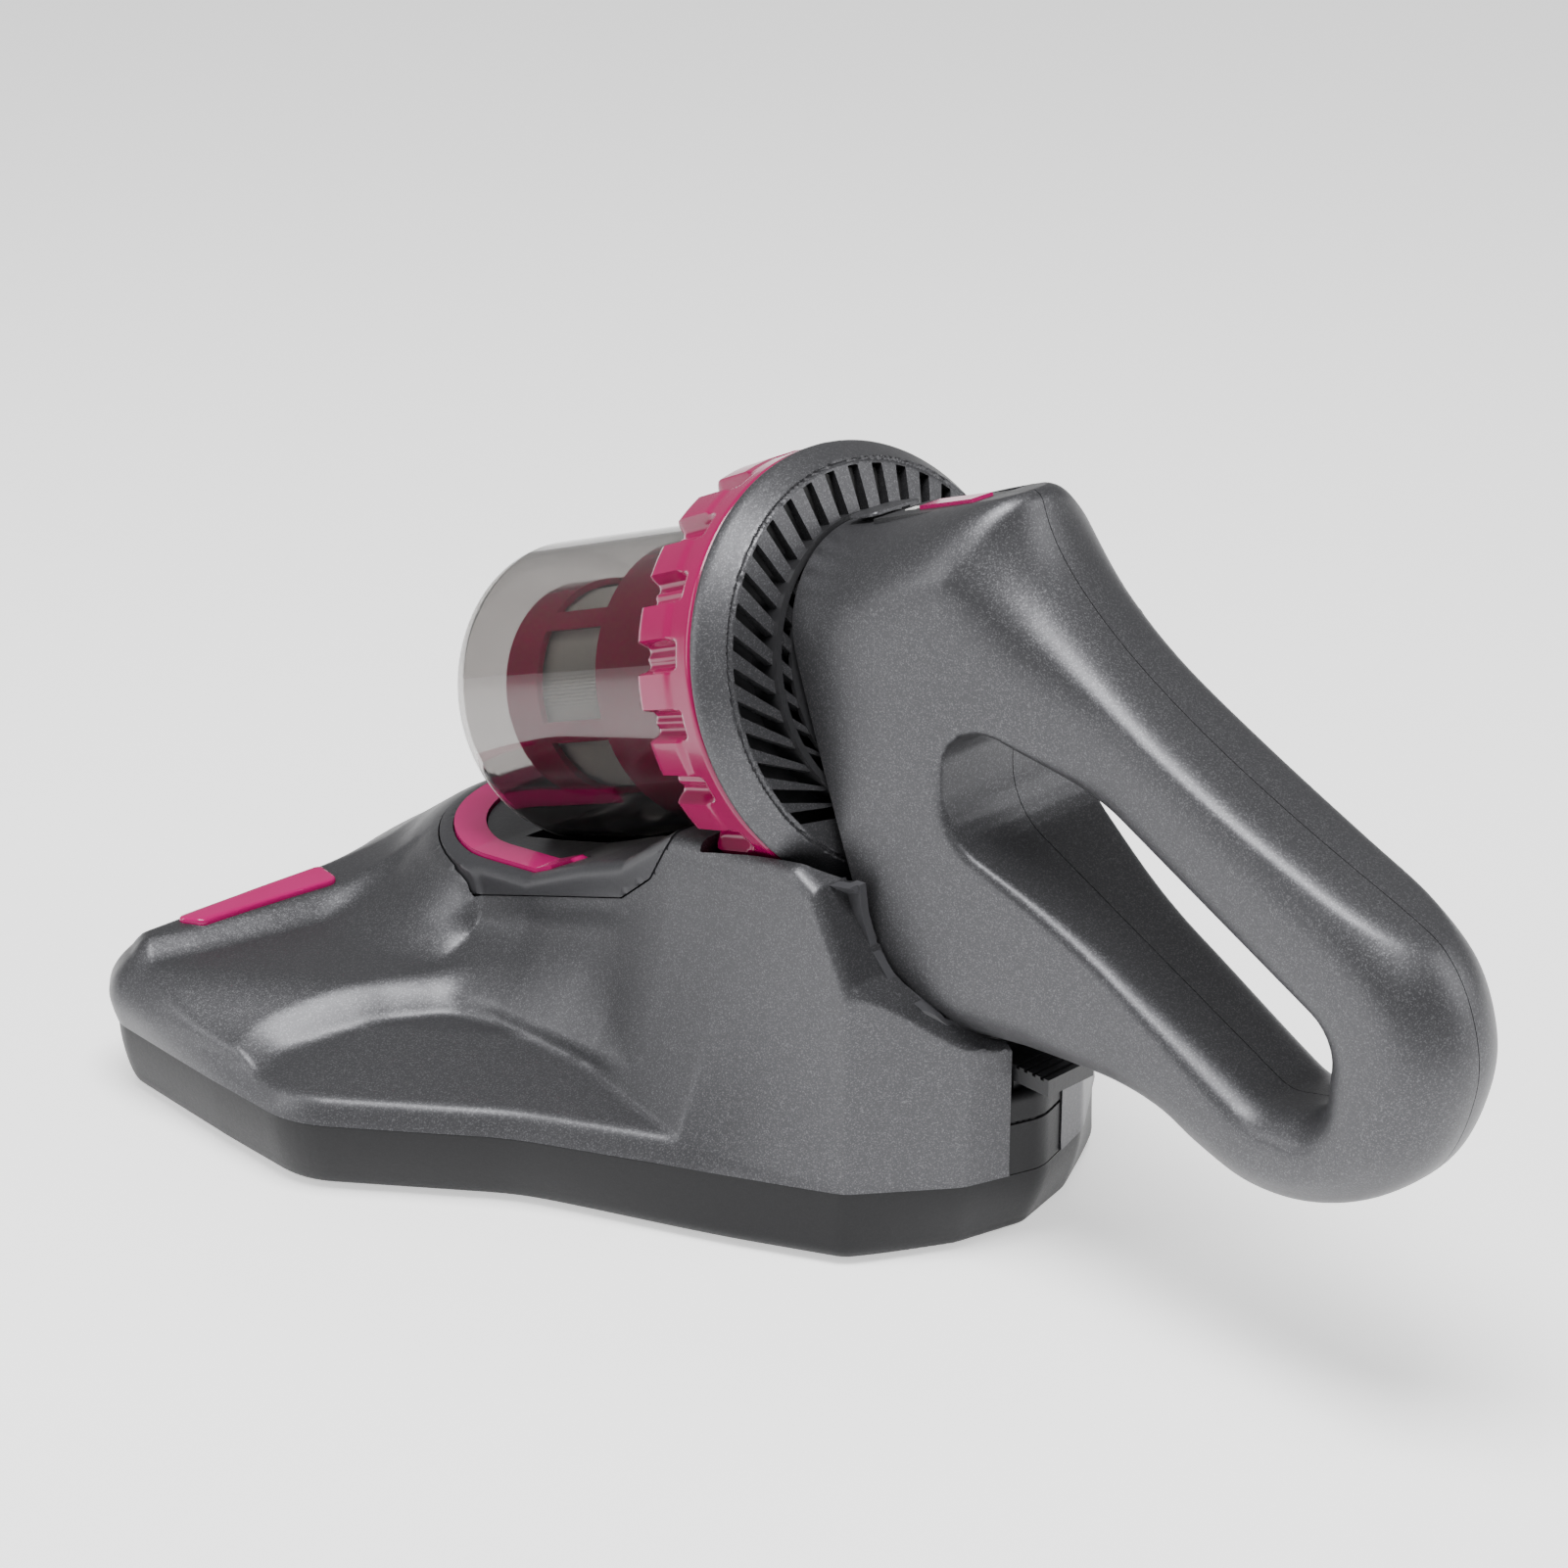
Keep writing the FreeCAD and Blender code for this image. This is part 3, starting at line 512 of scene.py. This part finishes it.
def slot_distance(x, up):
    """Distance to the nearest slot, seen along the axis."""
    nearest = np.full(np.broadcast(x, up).shape, 1e3)
    for k in range(SLOTS_PER_SIDE):
        angle = math.pi / 2 - (k + 0.5) * SLOT_STEP
        outer = np.array([math.cos(angle), math.sin(angle)]) * SLOT_OUTER
        direction = outer - SLOT_FOCUS
        share = 1.0
        while share > 0.3:
            point = SLOT_FOCUS + direction * share
            if point[0] < body_front_half_width(point[1]) - BODY_GAP:
                break
            share -= 0.01
        inner = SLOT_FOCUS + direction * share
        line = outer - inner
        t = np.clip(((np.abs(x) - inner[0]) * line[0] + (up - inner[1]) * line[1]) / (line @ line), 0, 1)
        across = np.abs((np.abs(x) - inner[0]) * line[1] - (up - inner[1]) * line[0]) / np.linalg.norm(line)
        rim = np.hypot(x, up) - SLOT_END_RADIUS
        start = -((np.abs(x) - inner[0]) * line[0] + (up - inner[1]) * line[1]) / np.linalg.norm(line)
        nearest = np.minimum(nearest, np.maximum(across - 1.6 - 0.2 * t, np.maximum(rim, start - 1.5)))
    return nearest


def grille_face(x, up, forward):
    """Back and front faces: a sloping border, a fine groove and a shallow cone inside it."""
    radius = np.hypot(x, up)
    back = np.interp(radius, (0, 30, 55.0, 55.3, 55.9, 56.3, RIM_RADIUS),
                     (-9.5, -9.3, -6.6, -5.9, -5.9, -6.6, 1.2))
    front = np.interp(radius, (0, 53.5, 55, 70), (-6.3, -4.2, 3.1, 3.1))
    return round_max(np.maximum(back - forward, forward - front), radius - RIM_RADIUS, 1.0)


def grille_slots(x, up, forward):
    return -SLOTS(np.abs(x), up) + 0.0 * forward


def grille_bore(x, up, forward):
    """The hole in the middle, in front of the fan."""
    return GRILLE_BORE - np.hypot(x, up) + 0.0 * forward


class Slots(Outline):
    """Distance to the nearest slot of the right half, as the same kind of table."""

    cell = 0.25

    def __init__(self):
        self.low = np.array([-2.0, -64.0])
        a = self.low[0] + np.arange(270)[:, None] * self.cell
        b = self.low[1] + np.arange(512)[None, :] * self.cell
        self.table = slot_distance(a, b)


SLOTS = Slots()
grille = carve("exhaust_grille_look", [grille_face, grille_slots, grille_bore],
               (-63.5, -63.5, -10.5), (63.5, 63.5, 4.0), 0.6)
wear(hand_place(grille), "hand_unit", GREY, "exhaust_grille")


# ---- Front cap -----------------------------------------------------------------------------------
# A small moulded cap on the flat top of the body, in front of the control panel. It is painted
# like the body and clipped on.

CAP_UNDER, CAP_TOP = 41.35, 42.7                 # above the hand axis
CAP_MIDDLE, CAP_HALF, CAP_REACH = -20.0, 9.0, 5.6


def cap_face(x, up, forward):
    """Rounded outline, and a top that falls a little to both sides."""
    plan = round_max(np.abs(x) - CAP_HALF, np.abs(forward - CAP_MIDDLE) - CAP_REACH, 2.0)
    return round_max(plan, up - CAP_TOP + 0.004 * x * x, 0.8)


def cap_under(x, up, forward):
    return CAP_UNDER - up


cap = carve("front_cap_look", [cap_face, cap_under], (-10, 40, -27), (10, 44, -13), 0.4)
wear(hand_place(cap), "hand_unit", GREY, "front_cap")


# ---- Twist ring ----------------------------------------------------------------------------------
# The ring that locks the cup: glossy magenta acetal, a smooth band at the back and twenty raised
# grips round the front.

RING_PERIODS = 20


def gloss_paint(name, deep, bright):
    """Glossy tinted plastic: slightly cloudy colour, a smooth clear surface with faint flow marks."""
    paint = Paint(name, Coat_Roughness=0.04, Coat_IOR=1.5, Specular_IOR_Level=0.3)
    cloud = paint.noise(35.0, 3.0)
    colour = paint.blend(cloud, deep, bright)
    film = paint.noise(90.0, 1.0)
    return paint.set(Base_Color=colour, Roughness=cloud * 0.08 + 0.13, Coat_Weight=cloud * 0.15 + 0.2,
                     Normal=paint.bump(film, 0.08))


MAGENTA = gloss_paint("magenta_gloss", (0.17, 0.0003, 0.038), (0.26, 0.001, 0.066))


def ring_surface(angle, forward):
    """The ring's outer radius: the grips are flat-topped teeth with a shallow flute in each gap."""
    phase = (angle * RING_PERIODS / (2 * math.pi)) % 1.0
    smooth = 61.6 - 0.1 * forward
    tooth = smooth_step(0.29 - np.abs(phase - 0.5), -0.035, 0.035)
    gap_flutes = 0.35 * np.cos(phase * 2 * math.pi * 5.0) * (1 - tooth)
    grip_zone = smooth_step(forward, 9.5 + 3.0 * tooth, 12.5 + 3.0 * tooth)
    low = smooth - 3.6 + gap_flutes
    return mix_between(smooth, mix_between(low, smooth + 0.5, tooth), grip_zone)


def make_ring():
    """A closed turned section at every angle; drops round its front and back corners."""
    inner, back, front = 46.0, 3.5, 29.5
    stations = np.concatenate([[back, 3.9, 4.6], np.linspace(5.5, 27, 26), [28.2, 29.0, front]])
    drops = np.interp(stations, (back, 3.9, 4.6, 27, 28.2, 29.0, front), (1.0, 0.4, 0, 0, 0.4, 1.2, 2.4))
    samples = RING_PERIODS * 36
    points, faces = [], []
    for i in range(samples):
        angle = 2 * math.pi * i / samples
        radii = ring_surface(angle, stations) - drops
        section = list(zip(radii, stations)) + [(inner, front), (inner, 15.0), (inner, back)]
        points += [(r * math.cos(angle), r * math.sin(angle), s) for r, s in section]
    count = len(section)
    for i in range(samples):
        for j in range(count):
            a, b = i * count + j, i * count + (j + 1) % count
            c, d = ((i + 1) % samples) * count + (j + 1) % count, ((i + 1) % samples) * count + j
            faces.append((a, b, c, d))
    return add_mesh("twist_ring_look", points, faces, 50.0)


wear(hand_place(make_ring()), "cup", MAGENTA, "twist_ring")


# ---- Pleated filter ------------------------------------------------------------------------------
# Pale filter paper, folded and closed into a ring. It is held inside the cage and shows through
# the windows of the cage.

PLEATS = 170
PAPER_BACK, PAPER_FRONT = 8.0, 119.5
RIDGE, VALLEY, CORE = 29.4, 26.8, 22.0


def pleats():
    """Sharp folds that run along the axis, round an open core."""
    count = 2 * PLEATS
    rows = [(PAPER_BACK, RIDGE, VALLEY), (PAPER_FRONT, RIDGE, VALLEY), (PAPER_FRONT, CORE, CORE),
            (PAPER_BACK, CORE, CORE)]
    points, faces = [], []
    for forward, ridge, valley in rows:
        for i in range(count):
            turn = 2 * math.pi * i / count
            radius = valley if i % 2 else ridge
            points.append((radius * math.cos(turn), radius * math.sin(turn), forward))
    for row in range(4):
        for i in range(count):
            ahead = (i + 1) % count
            below = (row + 1) % 4
            faces.append((row * count + i, row * count + ahead, below * count + ahead, below * count + i))
    return add_mesh("pleated_filter_look", points, faces, 20.0)


PAPER = plain_plastic("filter_paper", (0.80, 0.79, 0.76), (0.90, 0.89, 0.86), 0.9, 1400.0, 0.4)
wear(hand_place(pleats()), "hand_unit", PAPER, "pleated_filter")


# ---- Floor head: upper shell ---------------------------------------------------------------------
# One moulding painted like the body: a wide wing with a rail round its edge, a scooped pocket on
# each side and a tower that holds the body in a socket. A darker satin plate, the saddle, covers
# the tower in front and carries the cup.

HEAD_HALF = [(0, 59, 12), (24, 51.5, 14), (50.5, 32, 12), (96, -54, 90), (135.5, -103, 30),
             (136, -140, 90), (135, -188, 15), (126.5, -199.5, 9)]
PARTING = 22.0              # the height of the line between the upper and lower shells
RAIL_Z, SHELF_Z, POCKET_Z = 48.5, 43.0, 29.3
HEAD_WALL = 2.8
CUP_ROOM, RING_ROOM = 46.3, 62.3                 # radii of the hollows for the cup and the twist ring


def both_sides(half):
    return rounded_polygon(half + [(-x, y, r) for x, y, r in reversed(half) if x > 0])


HEAD_OUTLINE = Outline(both_sides(HEAD_HALF), 60.0)
POCKET = Outline(rounded_polygon([
    (121, -124, 8), (90, -114, 20), (76, -106, 14), (69, -90, 20), (65, -54, 60), (57, -15, 20),
    (75, -10, 5), (150, -95, 5), (150, -118, 5)]), 90.0)


def wing_rail(x, y, z):
    """The bevelled side of the head, up to the crease of the rail."""
    tip = smooth_step(-y, 120, 175)
    inset = 4.2 * (1 - tip) * np.clip((z - PARTING) / 8.0, 0, 1) ** 1.4 + 0.12 * np.clip(z - 30, 0, 30)
    bulge = 2.0 * np.sin(np.clip((z - PARTING) / 20, 0, 1) * math.pi)
    inset = inset + tip * (7.5 * np.clip((z - 30) / 17.0, 0, 1.3) ** 2 - bulge)
    return (HEAD_OUTLINE(x, y) + inset) * 0.9


def pocket_level(x, y):
    """The height of the pocket's floor, which rises a little inwards."""
    return POCKET_Z + 0.15 * np.clip(-HEAD_OUTLINE(x, y) - 5, 0, 34)


def pocket_floor(x, y, z):
    return (z - pocket_level(x, y)) * 0.98


def shelf(x, y, z):
    """The wing above the pocket: front rail, cove, level shelf and the slope down to the pocket."""
    x = np.abs(x)
    cove_y = np.interp(x, (27, 34, 44, 56, 88, 112, 130), (-104, -149, -159, -163, -168, -173, -178))
    level = SHELF_Z - 10.0 * smooth_step(x + 0.75 * (y + 150), 106, 150)
    rail = RAIL_Z - 1.0 * smooth_step(x, 60, 130)
    top = mix_between(rail, level, smooth_step(y, cove_y - 10, cove_y + 1.0))
    rise = np.clip((POCKET(x, y) + 0.5) / (15.0 - 2.0 * smooth_step(x, 60, 80)), 0, 1)
    return (z - mix_between(pocket_level(x, y) - 1.5, top, 1 - (1 - rise) ** 1.7)) * 0.8


TOWER_RADIUS = 49.6
U_CENTRE_Y = -121.0          # the middle of the round nose of the tower, the plate and the U
U_RADIUS, U_HALF_WIDTH = 41.5, 4.8
TOWER_TOP = (-175, -150, -130, -100, -75, -58, -46, -38, -5, 10, 18, 31, 39, 49, 60)
TOWER_TOP_Z = (66, 67, 68, 72, 84, 91, 100, 106, 111, 112, 108, 84, 77, 66, 58)


def tower(x, y, z):
    """The upright that carries the cup: round in front, flared into the wings, faceted behind."""
    x = np.abs(x)
    flare_depth = np.interp(y, (-130, -90, -54, -13, 0, 31), (9, 20, 17, 19.5, 14.8, 0.8))
    ahead = np.minimum(y - U_CENTRE_Y, 0)
    round_plan = np.hypot(x, ahead)
    top = np.interp(y, TOWER_TOP, TOWER_TOP_Z)
    low = np.maximum((top - 8 - z) / (top - 40), 0)
    facing = np.clip(-ahead / np.maximum(round_plan, 1), 0, 1) ** 0.7
    ledge = 1.5 * smooth_step(plate_border(y) - 2 - z, 0, 9) * smooth_step(-y, 42, 70)
    flare = flare_depth * low ** 1.6 + 1.35 * np.clip(68 - z, 0, 24) * facing - ledge
    side = (round_plan - TOWER_RADIUS - flare) * 0.8
    body = smooth_max(side, (z - top) * 0.8, 4.0)
    lean = 0.03 * (z - 25) + 0.35 * np.clip(z - 80, 0, 40)
    corner = np.maximum((x - 22) * 0.595 + (y + lean - 51) * 0.804, x * 0.379 + (y + lean - 60) * 0.925)
    return np.maximum(np.maximum(body, corner - 1.7), HEAD_OUTLINE(x, y))


def head_form(x, y, z):
    """The head without its hollow."""
    wing = round_max(wing_rail(x, y, z), smooth_min(pocket_floor(x, y, z), shelf(x, y, z), 1.5), 1.6)
    join = 1.0 + 13.0 * smooth_step(z, 32, 40) * smooth_step(-y, 18, 60)
    return smooth_min(wing, tower(x, y, z), join)


def head_hollow(x, y, z):
    return -(head_form(x, y, z) + HEAD_WALL)


def cup_room(x, y, z):
    forward, up = along_hand(y, z)
    return -np.maximum(np.hypot(x, up) - CUP_ROOM, np.abs(forward - 80.0) - 58.0)


def ring_room(x, y, z):
    forward, up = along_hand(y, z)
    return -np.maximum(np.hypot(x, up) - RING_ROOM, np.abs(forward - 9.5) - 21.0)


def body_room(x, y, z):
    """The socket that the body stands in, with a small gap all round."""
    return 0.9 - np.maximum(body_tube(x, y, z), body_front(x, y, z))


def u_band(x, y, z):
    """The U of the saddle's trim, seen from above: two straight legs and a half circle."""
    ahead = np.minimum(y - U_CENTRE_Y, 0)
    return np.abs(np.hypot(x, ahead) - U_RADIUS) - U_HALF_WIDTH + 0.0 * z


def u_ends(x, y, z):
    return (y + 91 - 0.75 * (44 - np.abs(x))) * 0.8 + 0.0 * z


def plate_border(y):
    return np.interp(y, (-175, -150, -130, -58, -46, -38, -36), (64, 59, 56, 80, 90, 104, 150))


def plate_ground(x, y, z):
    """Negative where the saddle plate lies: above its border and inside its round nose."""
    nose = np.hypot(x, np.minimum(y - U_CENTRE_Y, 0)) - 51.0
    return np.maximum((plate_border(y) - z) * 0.9, nose)


def outside_plate(x, y, z):
    return 0.25 - plate_ground(x, y, z)


def above_parting(x, y, z):
    return PARTING + 0.3 - z


def rear_slot(x, y, z):
    """The opening at the back, between the two sides of the head."""
    return -np.maximum(np.abs(x) - 10.4, 46.0 - y)


head_walls = [head_form, head_hollow, cup_room, ring_room, body_room, outside_plate, above_parting,
              rear_slot]
head_shell = carve("head_upper_shell_look", head_walls, (-140, -203, 21), (140, 63, 116), 1.3)
wear(head_shell, "head", GREY, "head_upper_shell")

SADDLE_BACK = -36.0
TRIM_GAP = 0.45
SADDLE_GREY = metallic_paint("saddle_satin_paint", (0.035, 0.035, 0.039), (0.07, 0.07, 0.075), 0.36, 0.3)


def saddle_skin(x, y, z):
    """A skin that follows the head's form, proud of it by 0.4 mm."""
    return np.abs(head_form(x, y, z) + 1.2) - 1.6


def in_plate(x, y, z):
    return plate_ground(x, y, z) + 0.25


def trim_groove(x, y, z):
    """The bed of the U trim, a little wider than the trim."""
    band = np.maximum(u_band(x, y, z), u_ends(x, y, z))
    return TRIM_GAP - np.maximum(band, TRIM_GAP - 1.0 - head_form(x, y, z))


def saddle_back(x, y, z):
    return y - SADDLE_BACK


saddle_walls = [saddle_skin, cup_room, ring_room, in_plate, trim_groove, saddle_back]
saddle = carve("saddle_plate_look", saddle_walls, (-54, -184, 55), (54, -34, 112), 1.0)
wear(saddle, "head", SADDLE_GREY, "saddle_plate")


# ---- Floor head: lower shell ---------------------------------------------------------------------
# A charcoal tray under the grey moulding, drawn in towards the floor, with the brush window and
# the wheel wells cut in its bottom.

TRAY_FLOOR = 1.0
WINDOW = (-101.0, 100.0, -187.5, -144.5)                         # left, right, front, back
WELLS = [(29.0, 22.0, 13.0, 6.5), (118.0, -122.0, 9.0, 5.5)]     # x, y, half length, half width


def tray_outside(x, y, z):
    drop = np.clip((PARTING - z) / 18.0, 0, 1)
    draw_in = 3.0 - 3.5 * smooth_step(y, -60, 10) + 7.0 * smooth_step(y, 30, 60)
    return round_max(HEAD_OUTLINE(x, y) + 0.4 + draw_in * drop ** 2, TRAY_FLOOR - z, 4.0)


def tray_top(x, y, z):
    return z - PARTING


def tray_hollow(x, y, z):
    return -np.maximum(tray_outside(x, y, z) + 2.6, TRAY_FLOOR + 2.4 - z)


def brush_window(x, y, z):
    return -np.maximum(np.abs(x - (WINDOW[0] + WINDOW[1]) / 2) - (WINDOW[1] - WINDOW[0]) / 2,
                       np.abs(y - (WINDOW[2] + WINDOW[3]) / 2) - (WINDOW[3] - WINDOW[2]) / 2) + 0.0 * z


def sole_bed(x, y, z):
    """The recess that the sole plate is screwed into."""
    return -np.maximum(np.maximum(np.abs(x) - 122.3, np.abs(y + 166.5) - 28.8), z - 4.1)


def wheel_wells(x, y, z):
    room = 1e3
    for across, along, half_length, half_width in WELLS:
        well = np.maximum(np.abs(np.abs(x) - across) - half_width, np.abs(y - along) - half_length)
        room = np.minimum(room, np.maximum(well, z - 12.0))
    return -room


tray_walls = [tray_outside, tray_top, tray_hollow, brush_window, sole_bed, wheel_wells]
tray = carve("head_lower_shell_look", tray_walls, (-139, -202, -0.4), (139, 62, 23.5), 1.2)
CHARCOAL = metallic_paint("charcoal_plastic", (0.010, 0.010, 0.011), (0.022, 0.022, 0.024), 0.48, 0.0,
                          Specular_IOR_Level=0.2)
wear(tray, "head", CHARCOAL, "head_lower_shell")


# ---- Rear panel -----------------------------------------------------------------------------------
# A black curved cover, moulded and clipped in between the two sides of the head, under the latch.
# It hides the latch's spring.

PANEL_TOP, PANEL_HALF, GROOVE_Z = 46.4, 10.1, 38.0


def panel_front(x, y, z):
    return round_max(HEAD_OUTLINE(x, y) + 0.5, z - PANEL_TOP, 2.5)


def panel_sides(x, y, z):
    return np.maximum(np.abs(x) - PANEL_HALF, 54.0 - y) + 0.0 * z


def panel_groove(x, y, z):
    return -np.maximum(np.abs(z - GROOVE_Z) - 0.5, -1.4 - HEAD_OUTLINE(x, y))


def panel_foot(x, y, z):
    return PARTING + 0.2 - z


rear_cover = carve("rear_panel_look", [panel_front, panel_sides, panel_groove, panel_foot],
                   (-11, 53, 21), (11, 63, 52), 0.6)
wear(rear_cover, "head", CHARCOAL, "rear_panel")


# ---- Magenta trims -------------------------------------------------------------------------------
# Moulded satin inlays, glued into their beds: a U on the saddle round the cup's nose, and one strip
# on each side of the front rail.

TRIM_MAGENTA = gloss_paint("magenta_satin", (0.30, 0.001, 0.075), (0.38, 0.004, 0.12))


def trim_skin(x, y, z):
    return np.abs(head_form(x, y, z) - 0.2) - 1.1


u_trim = carve("saddle_trim_look", [trim_skin, u_band, u_ends, cup_room, lambda x, y, z: 60 - z],
               (-50, -178, 60), (50, -86, 78), 0.8)
wear(u_trim, "head", TRIM_MAGENTA, "saddle_trim")

STRIP = Outline(rounded_polygon([(60, -186, 2), (114, -189, 3), (108, -180, 3), (62, -174, 3)]))


def strip_face(x, y, z):
    return round_max(head_form(x, y, z) - 1.3, STRIP(x, y), 0.9)


strip = carve("trim_strip_right_look", [strip_face, lambda x, y, z: -head_form(x, y, z) - 1.0],
              (56, -193, 40), (118, -171, 52), 0.6)
other_strip = mirror_piece(strip, "trim_strip_left_look")
wear(strip, "head", TRIM_MAGENTA, "trim_strip_right")
wear(other_strip, "head", TRIM_MAGENTA, "trim_strip_left")


# ---- Cup and the pieces inside -------------------------------------------------------------------
# The dust cup is one clear smoke-tinted moulding, and the filter's cage in it is glossy red. These
# and the motor, fan, cells, wheels, screws and springs keep their shapes and get their finish here.

def clear_plastic(name, tint):
    """Clear tinted plastic with a very slight haze."""
    paint = Paint(name, IOR=1.45, Transmission_Weight=1.0)
    haze = paint.noise(30.0, 2.0)
    return paint.set(Base_Color=paint.blend(haze, tint, tuple(0.94 * c for c in tint)),
                     Roughness=haze * 0.03 + 0.03)


def metal(name, base, light, roughness):
    """Turned metal with fine marks."""
    paint = Paint(name)
    marks = paint.noise(500.0, 4.0, 0.7)
    smear = paint.noise(40.0, 2.0)
    return paint.set(Base_Color=paint.blend(smear, base, light), Metallic=smear * 0.05 + 0.95,
                     Roughness=marks * 0.15 + roughness, Normal=paint.bump(marks, 0.1))


FINISH = {
    "dark_shell": plain_plastic("dark_plastic", (0.030, 0.030, 0.033), (0.045, 0.045, 0.05), 0.5),
    "magenta_gloss": MAGENTA,
    "magenta_satin": TRIM_MAGENTA,
    "smoke_clear": clear_plastic("smoke_clear", (0.45, 0.435, 0.425)),
    "black_plastic": BLACK_PLASTIC,
    "black_rubber": plain_plastic("black_rubber", (0.014, 0.014, 0.014), (0.026, 0.026, 0.026), 0.75,
                                  500.0, 0.3),
    "steel": metal("steel", (0.52, 0.52, 0.53), (0.62, 0.62, 0.63), 0.28),
    "bronze": metal("bronze", (0.50, 0.32, 0.16), (0.62, 0.42, 0.22), 0.35),
    "board_green": plain_plastic("board_green", (0.010, 0.10, 0.035), (0.018, 0.15, 0.05), 0.45),
    "cell_wrap": plain_plastic("cell_wrap", (0.02, 0.10, 0.30), (0.03, 0.14, 0.38), 0.35),
    "white_lens": plain_plastic("white_lens", (0.72, 0.72, 0.70), (0.82, 0.82, 0.80), 0.25),
    "bristle": plain_plastic("bristle", (0.03, 0.03, 0.035), (0.07, 0.07, 0.08), 0.7, 1600.0, 0.6),
}
CAGE_RED = gloss_paint("cage_red", (0.34, 0.001, 0.06), (0.44, 0.003, 0.09))
slots = {part["node"]: part["material_slot"] for part in frame["record"]["subparts"]}
for name, node in frame["nodes"].items():
    if not node.hide_render:
        node.data.materials.clear()
        node.data.materials.append(CAGE_RED if name == "filter_cage" else FINISH[slots[name]])


# ---- Room ----------------------------------------------------------------------------------------
# A white sheet of paper, a big soft box overhead and one on each side. The camera stands behind the
# tail, to the right of it and above it, with a long lens.

def flat_sheet(name, half, height):
    """A large round sheet under everything."""
    rings, points, faces = 48, [(0, 0, height)], []
    for i in range(rings):
        angle = 2 * math.pi * i / rings
        points.append((half * math.cos(angle), half * math.sin(angle), height))
    for i in range(rings):
        faces.append((0, 1 + i, 1 + (i + 1) % rings))
    return add_mesh(name, points, faces)


floor = flat_sheet("floor", 6000.0, -0.3)
paper = Paint("floor_paper", Emission_Strength=0.8)
grain = paper.noise(60.0, 3.0)
floor.data.materials.append(paper.set(Base_Color=paper.blend(grain, (0.86, 0.86, 0.86), (0.9, 0.9, 0.9)),
                                      Emission_Color=paper.blend(grain, (1.0, 1.0, 1.0), (0.96, 0.96, 0.96)),
                                      Roughness=grain * 0.1 + 0.75))

world = bpy.data.worlds.new("studio")
bpy.context.scene.world = world
world.use_nodes = True
world.node_tree.nodes["Background"].inputs["Color"].default_value = (1.0, 1.0, 1.0, 1.0)
world.node_tree.nodes["Background"].inputs["Strength"].default_value = 0.35


def soft_box(name, azimuth, elevation, distance, size, power):
    """An area light on a stand, aimed at the middle of the object."""
    aim = Vector((0.0, -0.02, 0.1))
    a, e = math.radians(azimuth), math.radians(elevation)
    place = aim + distance * Vector((math.sin(a) * math.cos(e), -math.cos(a) * math.cos(e), math.sin(e)))
    data = bpy.data.lights.new(name, "AREA")
    data.shape = "RECTANGLE"
    data.size, data.size_y = size
    data.energy = power
    light = bpy.data.objects.new(name, data)
    bpy.context.scene.collection.objects.link(light)
    light.location = place
    light.rotation_euler = (aim - place).to_track_quat("-Z", "Y").to_euler()


soft_box("overhead_box", 120, 76, 1.3, (0.8, 0.6), 34)
soft_box("left_box", 60, 25, 1.5, (0.5, 1.0), 9)
soft_box("right_box", 215, 25, 1.5, (0.5, 1.0), 9)

AZIMUTH, ELEVATION, DISTANCE = math.radians(136.5), math.radians(24.0), 1.1
target = Vector((0.0, -0.0445, 0.104))
towards_camera = Vector((math.sin(AZIMUTH) * math.cos(ELEVATION), -math.cos(AZIMUTH) * math.cos(ELEVATION),
                         math.sin(ELEVATION)))
lens = bpy.data.cameras.new("long_lens")
lens.lens = 89.04
lens.sensor_width = 36.0
lens.clip_end = 50.0
camera = bpy.data.objects.new("camera", lens)
bpy.context.scene.collection.objects.link(camera)
camera.location = target + towards_camera * DISTANCE
camera.rotation_euler = (-towards_camera).to_track_quat("-Z", "Y").to_euler()
bpy.context.scene.camera = camera
